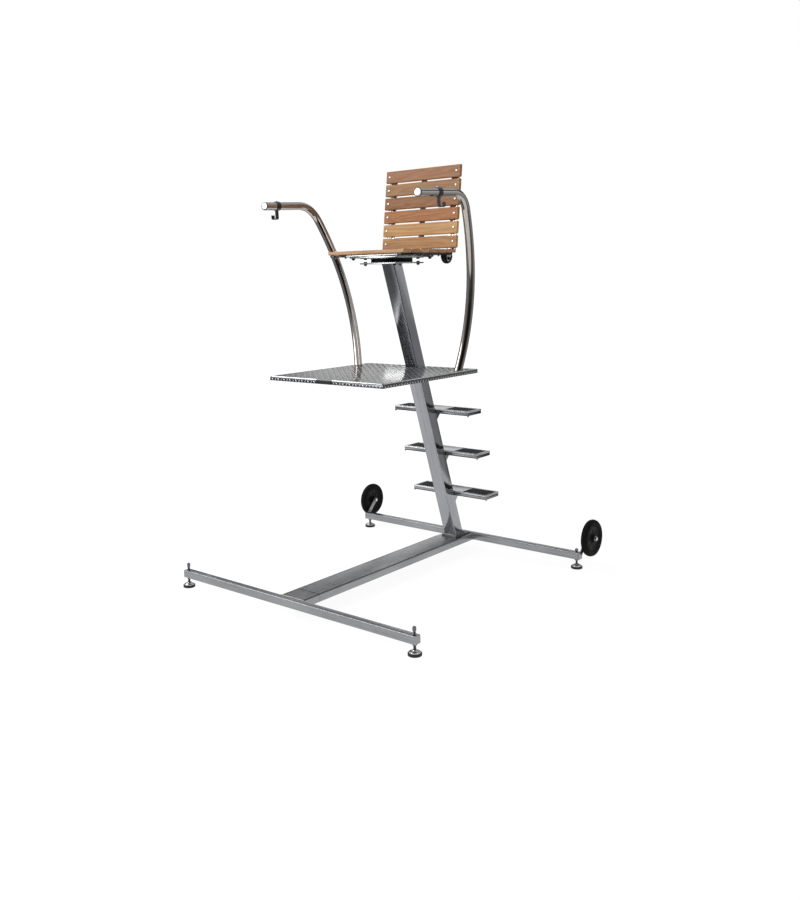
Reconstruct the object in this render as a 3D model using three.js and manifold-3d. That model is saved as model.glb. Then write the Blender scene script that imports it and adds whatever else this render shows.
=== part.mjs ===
// Mobile lifeguard chair: a stainless base on four levelling feet with two tilt wheels,
// one leaning mast with three steps and a chequer-plate platform, two bent handrails,
// and a slatted wooden seat that turns on a ball race.
// Millimetres, +Z up. The sitter faces -Y. The origin is on the floor, under the middle.
import * as THREE from 'three';
import { mergeVertices } from 'three/addons/utils/BufferGeometryUtils.js';
import Module from 'manifold-3d';

const wasm = await Module();
wasm.setup();

// Fits
const contactGap = 0.3;
const holeClearance = 0.6;
const cutOverrun = 5;

// Base
const baseLength = 1462;
const frontBarLength = 1526;
const rearBarSetIn = 13;
const barSide = 38;
const barWall = 2;
const barUnderside = 52;
const spineWidth = 150;
const spineWall = 3;
const spineStubLength = 110;
const spineJointGap = 1.2;
const sleeveLength = 170;
const sleeveWall = 3;

// Levelling feet
const footInset = 18;
const padRadius = 31;
const padRimHeight = 18;
const padHeight = 25;
const padDomeRadius = 27;
const padBossRadius = 12;
const studRadius = 6;
const studHexRadius = 8.6;
const frontHexHeight = 19;
const rearHexHeight = 10;
const frontStudRise = 34;
const rearStudRise = 16;
const studTipHeight = 3;

// Tilt wheels
const wheelRadius = 100;
const wheelWidth = 38;
const axleBack = 82;
const axleHeight = 155;
const bracketThickness = 6;
const bracketEyeRadius = 12.5;
const hubGap = 2;
const hubLength = 44;
const hubRadius = 20;
const rimRadius = 62;
const rimWidth = 26;
const webThickness = 8;
const tyreShoulder = 13;
const axleRadius = 6;
const axleHeadHeight = 8;
const axleHexRadius = 11;

// Mast
const mastWidth = 82;
const mastDepth = 71;
const mastWall = 3;
const mastLean = THREE.MathUtils.degToRad(18.4);
const mastFootBack = 110;
const mastTop = 1668;
const footPlateWidth = 100;
const footPlateThickness = 8;
const footPlateFrontMargin = 12;
const footBoltRadius = 6;
const footBoltSpacing = 56;

// Steps
const stepPitch = 248;
const stepWidth = 505;
const stepDepth = 132;
const stepHeight = 25;
const stepSheet = 3;
const treadInnerEdge = 88;
const treadRim = 12;
const treadRecess = 4;
const stepTabWidth = 12;
const stepTabDrop = 7;
const gussetOffset = 30;
const gussetThickness = 6;
const gussetReach = 55;
const gussetDrop = 45;

// Platform
const platformHeight = 1106;
const platformWidth = 752;
const platformDepth = 787;
const platformBehindMast = 9;
const platformSheet = 4;
const platformRim = 22;
const notchClearance = 3;
const beamWidth = 40;
const beamWall = 2;
const outriggerWidth = 30;
const outriggerBackShare = 0.165;
const outriggerFrontShare = 0.6;
const bufferWidth = 98;
const bufferThickness = 3;
const bufferHeight = 15;
const bufferDrop = 4;

// Handrails
const railRadius = 21.2;
const railWall = 2;
const railFootSide = 342;
const railFootBack = 529;
const railSwellSide = 405;
const railSwellBack = 469;
const railShoulderSide = 452;
const railShoulderBack = 531;
const railCornerSide = 515;
const railCornerBack = 708;
const railCornerHeight = 2003;
const railGripSide = 507;
const railGripReach = 353;
const railGripHeight = 1986;
const railCornerCut = 92;
const railRootLength = 40;
const railCapThickness = 4;
const railCapPlugLength = 16;
const capPlugGap = 1;

// Hooks on the grips
const leftHookDistance = 90;
const rightHookDistance = 150;
const clampThickness = 3.2;
const clampWidth = 26;
const hookStripWidth = 24;
const hookStripThickness = 4;
const hookDrop = 50;
const hookReach = 34;
const hookTipRise = 24;
const hookScrewRadius = 4.5;
const hookScrewHeight = 4;

// Swivel
const racePlateSide = 240;
const mastPlateThickness = 4;
const flangeThickness = 3;
const raceBoltSpacing = 198;
const raceBoltRadius = 5;
const raceOuterRadius = 110;
const raceInnerRadius = 78;
const raceHeight = 10.7;
const raceGap = 0.6;
const ballRadius = 4;
const ballCircleRadius = 94;
const ballCount = 12;
const ballGap = 1.2;
const cageRadius = 1.5;

// Seat
const mountPlateSide = 316;
const mountPlateThickness = 8;
const mountBoltInset = 14;
const mountBoltRadius = 5;
const seatBarHeight = 12;
const seatSideBarWidth = 25;
const seatCrossBarWidth = 30;
const seatWidth = 505;
const seatDepth = 440;
const seatRearOverhang = 218;
const seatSlatGap = 8.5;
const seatSlatCount = 6;
const slatThickness = 18;
const slatRound = 4;
const slatBoltInset = 27;
const slatBoltRadius = 3;

// Backrest
const backrestLean = THREE.MathUtils.degToRad(7.4);
const backrestWidth = 505;
const backrestSlatPitch = 76;
const backrestSlatGap = 9.5;
const backrestSlatCount = 6;
const backrestClear = 58;
const backrestBarWidth = 50;
const backrestBarThickness = 6;
const backrestBarOffset = 211;
const backrestBarRoot = 34;
const backrestBarTopInset = 15;
const battenWidth = 30;
const battenThickness = 14;
const backrestScrewInset = 24;
const hingeBack = 222;
const hingeDrop = 18;
const hingeHousingRadius = 45;
const hingeHousingThickness = 14;
const hingeHousingInner = 190;
const hingeGap = 0.5;
const earThickness = 6;
const earRadius = 16;
const earShoulderFront = 4;
const earShoulderTop = 54;
const pivotRadius = 5;
const pivotHexRadius = 9;
const pivotHexHeight = 6;

// Derived levels and places. In the chair's own group y = 0 is the rear bar's middle.
const barTop = barUnderside + barSide;
const mastFootHeight = barTop + footPlateThickness;
const mastHalfRun = mastDepth / 2 / Math.cos(mastLean);
const mastMiddle = (z) => -mastFootBack - (z - mastFootHeight) * Math.tan(mastLean);
const mastRear = (z) => mastMiddle(z) + mastHalfRun;
const mastFront = (z) => mastMiddle(z) - mastHalfRun;
const seatAxisY = mastMiddle(mastTop);
const platformRearY = mastRear(platformHeight) + platformBehindMast;
const platformFrontY = platformRearY - platformDepth;
const lowerFlangeBottom = mastTop + mastPlateThickness;
const lowerRaceBottom = lowerFlangeBottom + flangeThickness;
const upperRaceBottom = lowerRaceBottom + raceHeight + raceGap;
const upperFlangeBottom = upperRaceBottom + raceHeight;
const mountPlateBottom = upperFlangeBottom + flangeThickness;
const seatBarBottom = mountPlateBottom + mountPlateThickness;
const slatBottom = seatBarBottom + seatBarHeight;
const slatTop = slatBottom + slatThickness;
const frontReach = baseLength + padRadius;
const rearReach = axleBack + wheelRadius;
const rearBarLength = frontBarLength - 2 * rearBarSetIn;
const railGripBack = railCornerBack + railGripReach;

const round = 24;
const coarse = 12;
const fine = 40;
const railSides = 16;

// Finishes
const steel = (color, roughness) => new THREE.MeshStandardMaterial({ color, roughness, metalness: 0.9 });
const plastic = (color, roughness) => new THREE.MeshStandardMaterial({ color, roughness, metalness: 0 });
const brushedSteel = steel('#a3a6a9', 0.38);
const darkSteel = steel('#6f7275', 0.35);
const polishedSteel = steel('#c4c7ca', 0.12);
const treadPlate = steel('#9c9fa1', 0.3);
const brightFastener = steel('#cdd0d2', 0.2);
const darkFastener = steel('#2c2d2f', 0.4);
const blackRubber = plastic('#141414', 0.75);
const blackPlastic = plastic('#1c1c1d', 0.5);
const whitePlastic = plastic('#eceeee', 0.35);
const seatWood = plastic('#b98a5f', 0.6);
const battenWood = plastic('#7a4f30', 0.7);

const chair = new THREE.Group();
chair.position.y = (frontReach - rearReach) / 2;

// Each sub-part is one named mesh in the chair's group or in a turned group.
function addPart(name, geometry, material, holder = chair) {
  const mesh = new THREE.Mesh(geometry, material);
  mesh.name = name;
  holder.add(mesh);
  return mesh;
}

// Closed geometry to a solid and back
function solid(geometry) {
  const bare = geometry.clone();
  bare.deleteAttribute('normal');
  bare.deleteAttribute('uv');
  const merged = mergeVertices(bare);
  return new wasm.Manifold(new wasm.Mesh({
    numProp: 3,
    vertProperties: new Float32Array(merged.attributes.position.array),
    triVerts: new Uint32Array(merged.index.array),
  }));
}

function surface(body) {
  const mesh = body.getMesh();
  const geometry = new THREE.BufferGeometry();
  geometry.setAttribute('position', new THREE.BufferAttribute(new Float32Array(mesh.vertProperties), 3));
  geometry.setIndex(new THREE.BufferAttribute(new Uint32Array(mesh.triVerts), 1));
  geometry.computeVertexNormals();
  return geometry;
}

const joined = (bodies) => bodies.reduce((whole, body) => whole.add(body));
const mirrored = (offset) => [-offset, offset];

// A block between two corners
function block(low, high) {
  const size = high.map((value, i) => value - low[i]);
  const geometry = new THREE.BoxGeometry(...size);
  geometry.translate(...low.map((value, i) => value + size[i] / 2));
  return solid(geometry);
}

// A round or six-sided bar that starts at a point and runs along an axis
function bar(radius, length, start, axis = 'z', sides = coarse) {
  const geometry = new THREE.CylinderGeometry(radius, radius, length, sides);
  geometry.translate(0, length / 2, 0);
  if (axis === 'z') geometry.rotateX(Math.PI / 2);
  if (axis === 'x') geometry.rotateZ(-Math.PI / 2);
  geometry.translate(...start);
  return solid(geometry);
}

// A turned piece: profile points are [radius, height] and close on the axis or on themselves.
function turned(points, sides = round) {
  const profile = points.map(([radius, height]) => new THREE.Vector2(radius, height));
  return new THREE.LatheGeometry(profile, sides).rotateX(Math.PI / 2);
}

// A flat outline in y and z, carried along x from one place to another
function plateAcross(points, fromX, toX) {
  const shape = new THREE.Shape(points.map(([y, z]) => new THREE.Vector2(y, z)));
  const geometry = new THREE.ExtrudeGeometry(shape, { depth: toX - fromX, bevelEnabled: false, curveSegments: round });
  const turn = new THREE.Matrix4().makeBasis(
    new THREE.Vector3(0, 1, 0),
    new THREE.Vector3(0, 0, 1),
    new THREE.Vector3(1, 0, 0),
  );
  geometry.applyMatrix4(turn);
  geometry.translate(fromX, 0, 0);
  return geometry;
}

// Points on a circle in the outline plane, from one angle to another
function arc(centreY, centreZ, radius, fromAngle, toAngle, steps) {
  const points = [];
  for (let i = 0; i <= steps; i += 1) {
    const angle = fromAngle + ((toAngle - fromAngle) * i) / steps;
    points.push([centreY + radius * Math.cos(angle), centreZ + radius * Math.sin(angle)]);
  }
  return points;
}

// Crossbars: square tubes with a stud hole near each end. The front one has welded ends.
function crossbar(length, middleY, endPlate) {
  const half = length / 2;
  const side = barSide / 2;
  const bore = side - barWall;
  const inner = half - endPlate + (endPlate > 0 ? 0 : cutOverrun);
  let tube = block([-half, middleY - side, barUnderside], [half, middleY + side, barTop]);
  const core = block(
    [-inner, middleY - bore, barUnderside + barWall],
    [inner, middleY + bore, barTop - barWall],
  );
  tube = tube.subtract(core);
  mirrored(half - footInset).forEach((x) => {
    const start = [x, middleY, barUnderside - cutOverrun];
    tube = tube.subtract(bar(studRadius + holeClearance, barSide + 2 * cutOverrun, start));
  });
  return surface(tube);
}
addPart('front_crossbar', crossbar(frontBarLength, -baseLength, barWall), brushedSteel);
addPart('rear_crossbar', crossbar(rearBarLength, 0, 0), brushedSteel);

// Spine: a flat tube in two lengths that meet over a hidden sleeve
function flatTube(width, low, high, wall, fromY, toY) {
  const half = width / 2;
  const tube = block([-half, fromY, low], [half, toY, high]);
  const core = block(
    [-half + wall, fromY - cutOverrun, low + wall],
    [half - wall, toY + cutOverrun, high - wall],
  );
  return tube.subtract(core);
}
const spineFrontY = -baseLength + barSide / 2;
const spineSeamY = spineFrontY + spineStubLength;
const spineRearY = -barSide / 2;
const footPlateRearY = spineRearY;
const footPlateFrontY = mastFront(mastFootHeight) - footPlateFrontMargin;
const footBoltY = (mastRear(mastFootHeight) + footPlateRearY) / 2;
const footBoltPlaces = mirrored(footBoltSpacing / 2).map((x) => [x, footBoltY]);
const footBoltHole = ([x, y]) => bar(
  footBoltRadius + holeClearance,
  footPlateThickness + spineWall + 2 * cutOverrun,
  [x, y, barTop - spineWall - cutOverrun],
);
const spineStub = flatTube(spineWidth, barUnderside, barTop, spineWall, spineFrontY, spineSeamY);
addPart('spine_front_stub', surface(spineStub), brushedSteel);

const spine = footBoltPlaces.reduce(
  (tube, place) => tube.subtract(footBoltHole(place)),
  flatTube(spineWidth, barUnderside, barTop, spineWall, spineSeamY + spineJointGap, spineRearY),
);
addPart('base_spine', surface(spine), brushedSteel);

const sleeveInset = spineWall + contactGap;
const sleeve = flatTube(
  spineWidth - 2 * sleeveInset,
  barUnderside + sleeveInset,
  barTop - sleeveInset,
  sleeveWall,
  spineSeamY - sleeveLength / 2,
  spineSeamY + sleeveLength / 2,
);
addPart('spine_joint_sleeve', surface(sleeve), darkSteel);

// Levelling feet: a rubber-edged pad and a threaded stud with a hex top
function levellingFoot(rise, hexHeight) {
  const pad = turned([
    [0, 0],
    [padRadius, 0],
    [padRadius, padRimHeight],
    [padDomeRadius, padRimHeight + (padHeight - padRimHeight) / 3],
    [padBossRadius, padHeight],
    [0, padHeight],
  ]);
  const hexBottom = barTop + rise - hexHeight;
  const shank = bar(studRadius, hexBottom - padRimHeight, [0, 0, padRimHeight], 'z', round);
  const hex = bar(studHexRadius, hexHeight, [0, 0, hexBottom], 'z', 6);
  const tip = bar(studRadius, studTipHeight, [0, 0, hexBottom + hexHeight], 'z', round);
  return surface(joined([solid(pad), shank, hex, tip]));
}
const frontFootX = frontBarLength / 2 - footInset;
const rearFootX = rearBarLength / 2 - footInset;
const footPlaces = [
  ['levelling_foot_front_left', -frontFootX, -baseLength, frontStudRise, frontHexHeight],
  ['levelling_foot_front_right', frontFootX, -baseLength, frontStudRise, frontHexHeight],
  ['levelling_foot_rear_left', -rearFootX, 0, rearStudRise, rearHexHeight],
  ['levelling_foot_rear_right', rearFootX, 0, rearStudRise, rearHexHeight],
];
footPlaces.forEach(([name, x, y, rise, hexHeight]) => {
  addPart(name, levellingFoot(rise, hexHeight), blackRubber).position.set(x, y, 0);
});

// Wheel brackets: plates that close the rear bar's ends, each with a strip that rises back to its axle
const bracketInner = rearBarLength / 2;
const bracketOuter = bracketInner + bracketThickness;
const wheelMiddleX = bracketOuter + hubGap + hubLength / 2;
function wheelBracket(side) {
  const low = Math.min(side * bracketInner, side * bracketOuter);
  const half = barSide / 2;
  const rise = Math.atan2(axleHeight - barTop + half, axleBack);
  const stripLow = barTop - half + (half * Math.sin(rise) - bracketEyeRadius) / Math.cos(rise);
  const stripFront = (half * Math.cos(rise) - bracketEyeRadius) / Math.sin(rise);
  const quarter = Math.PI / 2;
  const outline = [
    [-half, barUnderside],
    [half, barUnderside],
    [half, stripLow],
    ...arc(axleBack, axleHeight, bracketEyeRadius, rise - quarter, rise + quarter, coarse),
    [stripFront, barTop],
    [-half, barTop],
  ];
  const holeStart = [low - cutOverrun, axleBack, axleHeight];
  const hole = bar(axleRadius + holeClearance, bracketThickness + 2 * cutOverrun, holeStart, 'x');
  return surface(solid(plateAcross(outline, low, low + bracketThickness)).subtract(hole));
}
addPart('wheel_bracket_left', wheelBracket(-1), brushedSteel);
addPart('wheel_bracket_right', wheelBracket(1), brushedSteel);

// Tilt wheels: a solid rubber tyre on a plastic hub, free on a bolt
const rimHalf = rimWidth / 2;
const tyreBore = rimRadius + contactGap;
const tyreHalf = wheelWidth / 2;
const tyreProfile = [
  [tyreBore, -rimHalf],
  [wheelRadius - tyreShoulder, -tyreHalf],
  ...arc(0, 0, 1, -Math.PI / 2, Math.PI / 2, coarse / 2)
    .slice(1, -1)
    .map(([out, along]) => [wheelRadius - tyreShoulder + tyreShoulder * out, tyreHalf * along]),
  [wheelRadius - tyreShoulder, tyreHalf],
  [tyreBore, rimHalf],
  [tyreBore, -rimHalf],
];
const hubBore = axleRadius + contactGap;
const hubHalf = hubLength / 2;
const webHalf = webThickness / 2;
const rimInner = rimRadius - webThickness;
const hubProfile = [
  [hubBore, -hubHalf],
  [hubRadius, -hubHalf],
  [hubRadius, -webHalf],
  [rimInner, -webHalf],
  [rimInner, -rimHalf],
  [rimRadius, -rimHalf],
  [rimRadius, rimHalf],
  [rimInner, rimHalf],
  [rimInner, webHalf],
  [hubRadius, webHalf],
  [hubRadius, hubHalf],
  [hubBore, hubHalf],
  [hubBore, -hubHalf],
];
[['left', -1], ['right', 1]].forEach(([word, side]) => {
  const wheel = new THREE.Group();
  wheel.position.set(side * wheelMiddleX, axleBack, axleHeight);
  wheel.rotation.y = Math.PI / 2;
  chair.add(wheel);
  addPart(`wheel_tyre_${word}`, turned(tyreProfile, fine), blackRubber, wheel);
  addPart(`wheel_hub_${word}`, turned(hubProfile, round), blackPlastic, wheel);
});

// Axle bolts: head outside the hub, nut inside the bracket
function axleBolt(side) {
  const hubEnd = wheelMiddleX + hubLength / 2 + hubGap;
  const nutEnd = bracketInner - axleHeadHeight;
  const place = (fromX, toX) => [Math.min(side * fromX, side * toX), axleBack, axleHeight];
  const shank = bar(axleRadius, hubEnd - nutEnd, place(nutEnd, hubEnd), 'x', round);
  const head = bar(axleHexRadius, axleHeadHeight, place(hubEnd, hubEnd + axleHeadHeight), 'x', 6);
  const nut = bar(axleHexRadius, axleHeadHeight, place(nutEnd, bracketInner), 'x', 6);
  return surface(joined([shank, head, nut]));
}
addPart('wheel_axle_left', axleBolt(-1), brightFastener);
addPart('wheel_axle_right', axleBolt(1), brightFastener);

// Mast foot plate, drilled for two bolts behind the mast
const footPlateBody = footBoltPlaces.reduce(
  (plate, place) => plate.subtract(footBoltHole(place)),
  block(
    [-footPlateWidth / 2, footPlateFrontY, barTop],
    [footPlateWidth / 2, footPlateRearY, mastFootHeight],
  ),
);
addPart('mast_foot_plate', surface(footPlateBody), darkSteel);

// Mast: a rectangular tube that leans forward, cut level at both ends
function leaningPrism(halfWidth, halfRun, low, high) {
  const outline = [
    [mastMiddle(low) - halfRun, low],
    [mastMiddle(low) + halfRun, low],
    [mastMiddle(high) + halfRun, high],
    [mastMiddle(high) - halfRun, high],
  ];
  return solid(plateAcross(outline, -halfWidth, halfWidth));
}
const mastWallRun = mastWall / Math.cos(mastLean);
const mastTube = leaningPrism(mastWidth / 2, mastHalfRun, mastFootHeight, mastTop).subtract(
  leaningPrism(
    mastWidth / 2 - mastWall,
    mastHalfRun - mastWallRun,
    mastFootHeight - cutOverrun,
    mastTop + cutOverrun,
  ),
);
addPart('mast_tube', surface(mastTube), brushedSteel);

// Steps: folded trays behind the mast with sunk tread beds, two gussets and a tab below each front corner
const stepTops = [3, 2, 1].map((count) => platformHeight - count * stepPitch);
const treadOuterEdge = stepWidth / 2 - treadRim;
const stepFront = (top) => mastRear(top - stepHeight) + contactGap;
function bothSides(low, high) {
  const right = block(low, high);
  const left = block([-high[0], low[1], low[2]], [-low[0], high[1], high[2]]);
  return right.add(left);
}
function stepTray(top) {
  const front = stepFront(top);
  const rear = front + stepDepth;
  const bottom = top - stepHeight;
  const half = stepWidth / 2;
  const web = top - treadRecess - stepSheet;
  const ribInner = gussetOffset - gussetThickness / 2;
  const ribOuter = gussetOffset + gussetThickness / 2;
  const tray = block([-half, front, bottom], [half, rear, top]);
  const sunk = bothSides(
    [treadInnerEdge, front + treadRim, top - treadRecess],
    [treadOuterEdge, rear - treadRim, top + cutOverrun],
  );
  const middleBay = block(
    [-ribInner, front + stepSheet, bottom - cutOverrun],
    [ribInner, rear - stepSheet, web],
  );
  const sideBays = bothSides(
    [ribOuter, front + stepSheet, bottom - cutOverrun],
    [half - stepSheet, rear - stepSheet, web],
  );
  const tabs = bothSides(
    [half - stepSheet, front, bottom - stepTabDrop],
    [half, front + stepTabWidth, bottom + stepSheet],
  );
  return tray.subtract(sunk).subtract(middleBay).subtract(sideBays).add(tabs);
}

function stepGussets(top) {
  const bottom = top - stepHeight;
  const faceY = (z) => mastRear(z) + contactGap;
  const outline = [
    [faceY(bottom), bottom],
    [faceY(bottom - gussetDrop), bottom - gussetDrop],
    [faceY(bottom) + gussetReach, bottom],
  ];
  return joined(mirrored(gussetOffset).map((x) => {
    const half = gussetThickness / 2;
    return solid(plateAcross(outline, x - half, x + half));
  }));
}
['lower', 'middle', 'upper'].forEach((word, i) => {
  const step = stepTray(stepTops[i]).add(stepGussets(stepTops[i]));
  addPart(`${word}_step`, surface(step), brushedSteel);
});

// Platform: a chequer plate with folded edges, notched round the mast
const platformHalf = platformWidth / 2;
const beamTop = platformHeight - platformSheet;
const beamBottom = platformHeight - platformRim;
const skirt = platformSheet;
function platformPlate() {
  const notchHalf = mastWidth / 2 + notchClearance;
  const notchFront = mastFront(platformHeight) - notchClearance;
  const plate = block(
    [-platformHalf, platformFrontY, beamBottom],
    [platformHalf, platformRearY, platformHeight],
  );
  const hollow = block(
    [-platformHalf + skirt, platformFrontY + skirt, beamBottom - cutOverrun],
    [platformHalf - skirt, platformRearY - skirt, beamTop],
  );
  const notch = block(
    [-notchHalf, notchFront, beamBottom - cutOverrun],
    [notchHalf, platformRearY + cutOverrun, platformHeight + cutOverrun],
  );
  return surface(plate.subtract(hollow).subtract(notch));
}
addPart('platform_plate', platformPlate(), treadPlate);

// Platform frame: a front rail, and two beams beside the mast with two outriggers each
function boxTube(low, high, open) {
  const inset = low.map((value, i) => (i === open ? value - cutOverrun : value + beamWall));
  const outset = high.map((value, i) => (i === open ? value + cutOverrun : value - beamWall));
  return block(low, high).subtract(block(inset, outset));
}
const frameFrontY = platformFrontY + skirt;
const frontRailRearY = frameFrontY + beamWidth;
const frameRearY = platformRearY - skirt - contactGap;
const frontRail = boxTube(
  [-platformHalf + skirt, frameFrontY, beamBottom],
  [platformHalf - skirt, frontRailRearY, beamTop],
  0,
);
addPart('platform_front_rail', surface(frontRail), brushedSteel);

const beamInner = mastWidth / 2 + contactGap;
const beamOuter = beamInner + beamWidth;
function platformBeam(side) {
  const span = (fromX, toX) => [Math.min(side * fromX, side * toX), Math.max(side * fromX, side * toX)];
  const [beamLow, beamHigh] = span(beamInner, beamOuter);
  const beam = boxTube([beamLow, frontRailRearY, beamBottom], [beamHigh, frameRearY, beamTop], 1);
  const outriggers = [outriggerBackShare, outriggerFrontShare].map((share) => {
    const middle = platformRearY - share * platformDepth;
    const low = middle - outriggerWidth / 2;
    const high = middle + outriggerWidth / 2;
    const [from, to] = span(beamOuter, platformHalf - skirt);
    return block([from, low, beamBottom], [to, high, beamTop]);
  });
  return surface(joined([beam, ...outriggers]));
}
addPart('platform_beam_left', platformBeam(-1), brushedSteel);
addPart('platform_beam_right', platformBeam(1), brushedSteel);

const bufferTop = platformHeight - bufferDrop;
const buffer = block(
  [-bufferWidth / 2, platformFrontY - bufferThickness, bufferTop - bufferHeight],
  [bufferWidth / 2, platformFrontY, bufferTop],
);
addPart('front_edge_buffer', surface(buffer), blackRubber);

// Handrails: one bent tube each side. The upright is a cubic curve from the platform to
// a corner, which a smooth bend cuts off, and the grip runs forward from there.
function railPoints(side) {
  const foot = new THREE.Vector3(side * railFootSide, -railFootBack, platformHeight);
  const third = (railCornerHeight - platformHeight) / 3;
  const swell = new THREE.Vector3(side * railSwellSide, -railSwellBack, platformHeight + third);
  const shoulder = new THREE.Vector3(
    side * railShoulderSide,
    -railShoulderBack,
    platformHeight + 2 * third,
  );
  const corner = new THREE.Vector3(side * railCornerSide, -railCornerBack, railCornerHeight);
  const gripEnd = new THREE.Vector3(side * railGripSide, -railGripBack, railGripHeight);
  return { foot, swell, shoulder, corner, gripEnd };
}

class RailPath extends THREE.Curve {
  constructor(side) {
    super();
    const { foot, swell, shoulder, corner, gripEnd } = railPoints(side);
    const upright = new THREE.CubicBezierCurve3(foot, swell, shoulder, corner);
    const rootDirection = upright.getTangent(0);
    const root = foot.clone().addScaledVector(rootDirection, -railRootLength);
    const uprightLength = upright.getLength();
    const cutShare = 1 - railCornerCut / uprightLength;
    const cut = upright.getPointAt(cutShare);
    const gripDirection = gripEnd.clone().sub(corner).normalize();
    const gripStart = corner.clone().addScaledVector(gripDirection, railCornerCut);
    const points = [root];
    const uprightSteps = 16;
    for (let i = 0; i <= uprightSteps; i += 1) {
      points.push(upright.getPointAt((cutShare * i) / uprightSteps));
    }
    const bend = new THREE.QuadraticBezierCurve3(cut, corner, gripStart);
    const bendSteps = 8;
    for (let i = 1; i <= bendSteps; i += 1) {
      points.push(bend.getPoint(i / bendSteps));
    }
    points.push(gripEnd);
    this.points = points;
  }

  getPoint(t) {
    const place = t * (this.points.length - 1);
    const index = Math.min(Math.floor(place), this.points.length - 2);
    return this.points[index].clone().lerp(this.points[index + 1], place - index);
  }

  getPointAt(t) {
    return this.getPoint(t);
  }

  getTangentAt(t) {
    const last = this.points.length - 1;
    const index = Math.round(t * last);
    const before = this.points[Math.max(index - 1, 0)];
    const after = this.points[Math.min(index + 1, last)];
    return after.clone().sub(before).normalize();
  }

  getTangent(t) {
    return this.getTangentAt(t);
  }
}

function ringShape(outer, inner) {
  const shape = new THREE.Shape().absarc(0, 0, outer, 0, 2 * Math.PI);
  shape.holes.push(new THREE.Path().absarc(0, 0, inner, 0, 2 * Math.PI, true));
  return shape;
}

function handrail(side) {
  const path = new RailPath(side);
  const tube = new THREE.ExtrudeGeometry(ringShape(railRadius, railRadius - railWall), {
    extrudePath: path,
    steps: path.points.length - 1,
    curveSegments: railSides / 2,
    bevelEnabled: false,
  });
  const reach = platformWidth;
  const belowPlatform = block(
    [-reach, -railFootBack - reach, platformHeight - railRootLength - railRadius - cutOverrun],
    [reach, -railFootBack + reach, platformHeight],
  );
  return surface(solid(tube).subtract(belowPlatform));
}
addPart('handrail_left', handrail(-1), polishedSteel);
addPart('handrail_right', handrail(1), polishedSteel);

// A place on a grip: x points outwards, z up, and y back along the tube.
function gripFrame(side, setback) {
  const { corner, gripEnd } = railPoints(side);
  const back = corner.clone().sub(gripEnd).normalize();
  const across = new THREE.Vector3(0, 0, 1).cross(back).negate().normalize();
  const up = across.clone().cross(back);
  const place = gripEnd.clone().addScaledVector(back, setback);
  return new THREE.Matrix4().makeBasis(across, back, up).setPosition(place);
}

// End caps: a plug in the tube and a rounded face
const capPlugRadius = railRadius - railWall - capPlugGap;
const capProfile = [
  [0, -railCapPlugLength],
  [capPlugRadius, -railCapPlugLength],
  [capPlugRadius, contactGap],
  [railRadius, contactGap],
  [railRadius, railCapThickness / 2],
  [railRadius - railWall, railCapThickness],
  [0, railCapThickness],
];
function railCap(side) {
  const cap = turned(capProfile).rotateX(Math.PI / 2);
  return cap.applyMatrix4(gripFrame(side, 0));
}
addPart('handrail_cap_left', railCap(-1), whitePlastic);
addPart('handrail_cap_right', railCap(1), whitePlastic);

// Hooks: a clamp ring with its screw on the grip, and a J strip that opens outwards
function hookBody(side, setback) {
  const bore = railRadius + contactGap;
  const outer = bore + clampThickness;
  const ring = turned([
    [bore, -clampWidth / 2],
    [outer, -clampWidth / 2],
    [outer, clampWidth / 2],
    [bore, clampWidth / 2],
    [bore, -clampWidth / 2],
  ]).rotateX(Math.PI / 2);
  const half = hookStripWidth / 2;
  const strip = (fromX, toX, low, high) => block(
    [Math.min(side * fromX, side * toX), -half, low],
    [Math.max(side * fromX, side * toX), half, high],
  );
  const thick = hookStripThickness;
  const bottom = -railRadius - hookDrop;
  const strap = strip(0, thick, bottom, -bore - clampThickness / 2);
  const run = strip(0, hookReach, bottom, bottom + thick);
  const tip = strip(hookReach - thick, hookReach, bottom, bottom + hookTipRise);
  const screw = bar(hookScrewRadius, hookScrewHeight, [0, 0, outer - clampThickness / 2]);
  const geometry = surface(joined([solid(ring), screw, strap, run, tip]));
  return geometry.applyMatrix4(gripFrame(side, setback));
}
addPart('hook_left', hookBody(-1, leftHookDistance), darkFastener);
addPart('hook_right', hookBody(1, rightHookDistance), darkFastener);

// Swivel: a plate on the mast, two flanges, two races and a caged ring of balls
const raceBoltPlaces = mirrored(raceBoltSpacing / 2).flatMap(
  (x) => mirrored(raceBoltSpacing / 2).map((y) => [x, seatAxisY + y]),
);
function squarePlate(side, low, high, places, radius) {
  const half = side / 2;
  const plate = block([-half, seatAxisY - half, low], [half, seatAxisY + half, high]);
  return places.reduce((rest, [x, y]) => {
    const hole = bar(radius + holeClearance, high - low + 2 * cutOverrun, [x, y, low - cutOverrun]);
    return rest.subtract(hole);
  }, plate);
}
const mastPlate = squarePlate(racePlateSide, mastTop, lowerFlangeBottom, raceBoltPlaces, raceBoltRadius);
addPart('mast_top_plate', surface(mastPlate), brushedSteel);
const lowerFlange = squarePlate(
  racePlateSide,
  lowerFlangeBottom,
  lowerRaceBottom,
  raceBoltPlaces,
  raceBoltRadius,
);
addPart('swivel_lower_flange', surface(lowerFlange), darkSteel);

function swivelRace(low, grooveHeight) {
  const ring = turned([
    [raceInnerRadius, 0],
    [raceOuterRadius, 0],
    [raceOuterRadius, raceHeight],
    [raceInnerRadius, raceHeight],
    [raceInnerRadius, 0],
  ], railSides * 2);
  ring.translate(0, seatAxisY, low);
  const grooveRadius = ballRadius + ballGap;
  const groove = turned([
    ...arc(ballCircleRadius, grooveHeight, grooveRadius, 0, 2 * Math.PI, 8),
  ], railSides * 2);
  groove.translate(0, seatAxisY, low);
  return surface(solid(ring).subtract(solid(groove)));
}
addPart('swivel_lower_race', swivelRace(lowerRaceBottom, raceHeight + raceGap / 2), blackPlastic);

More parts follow.
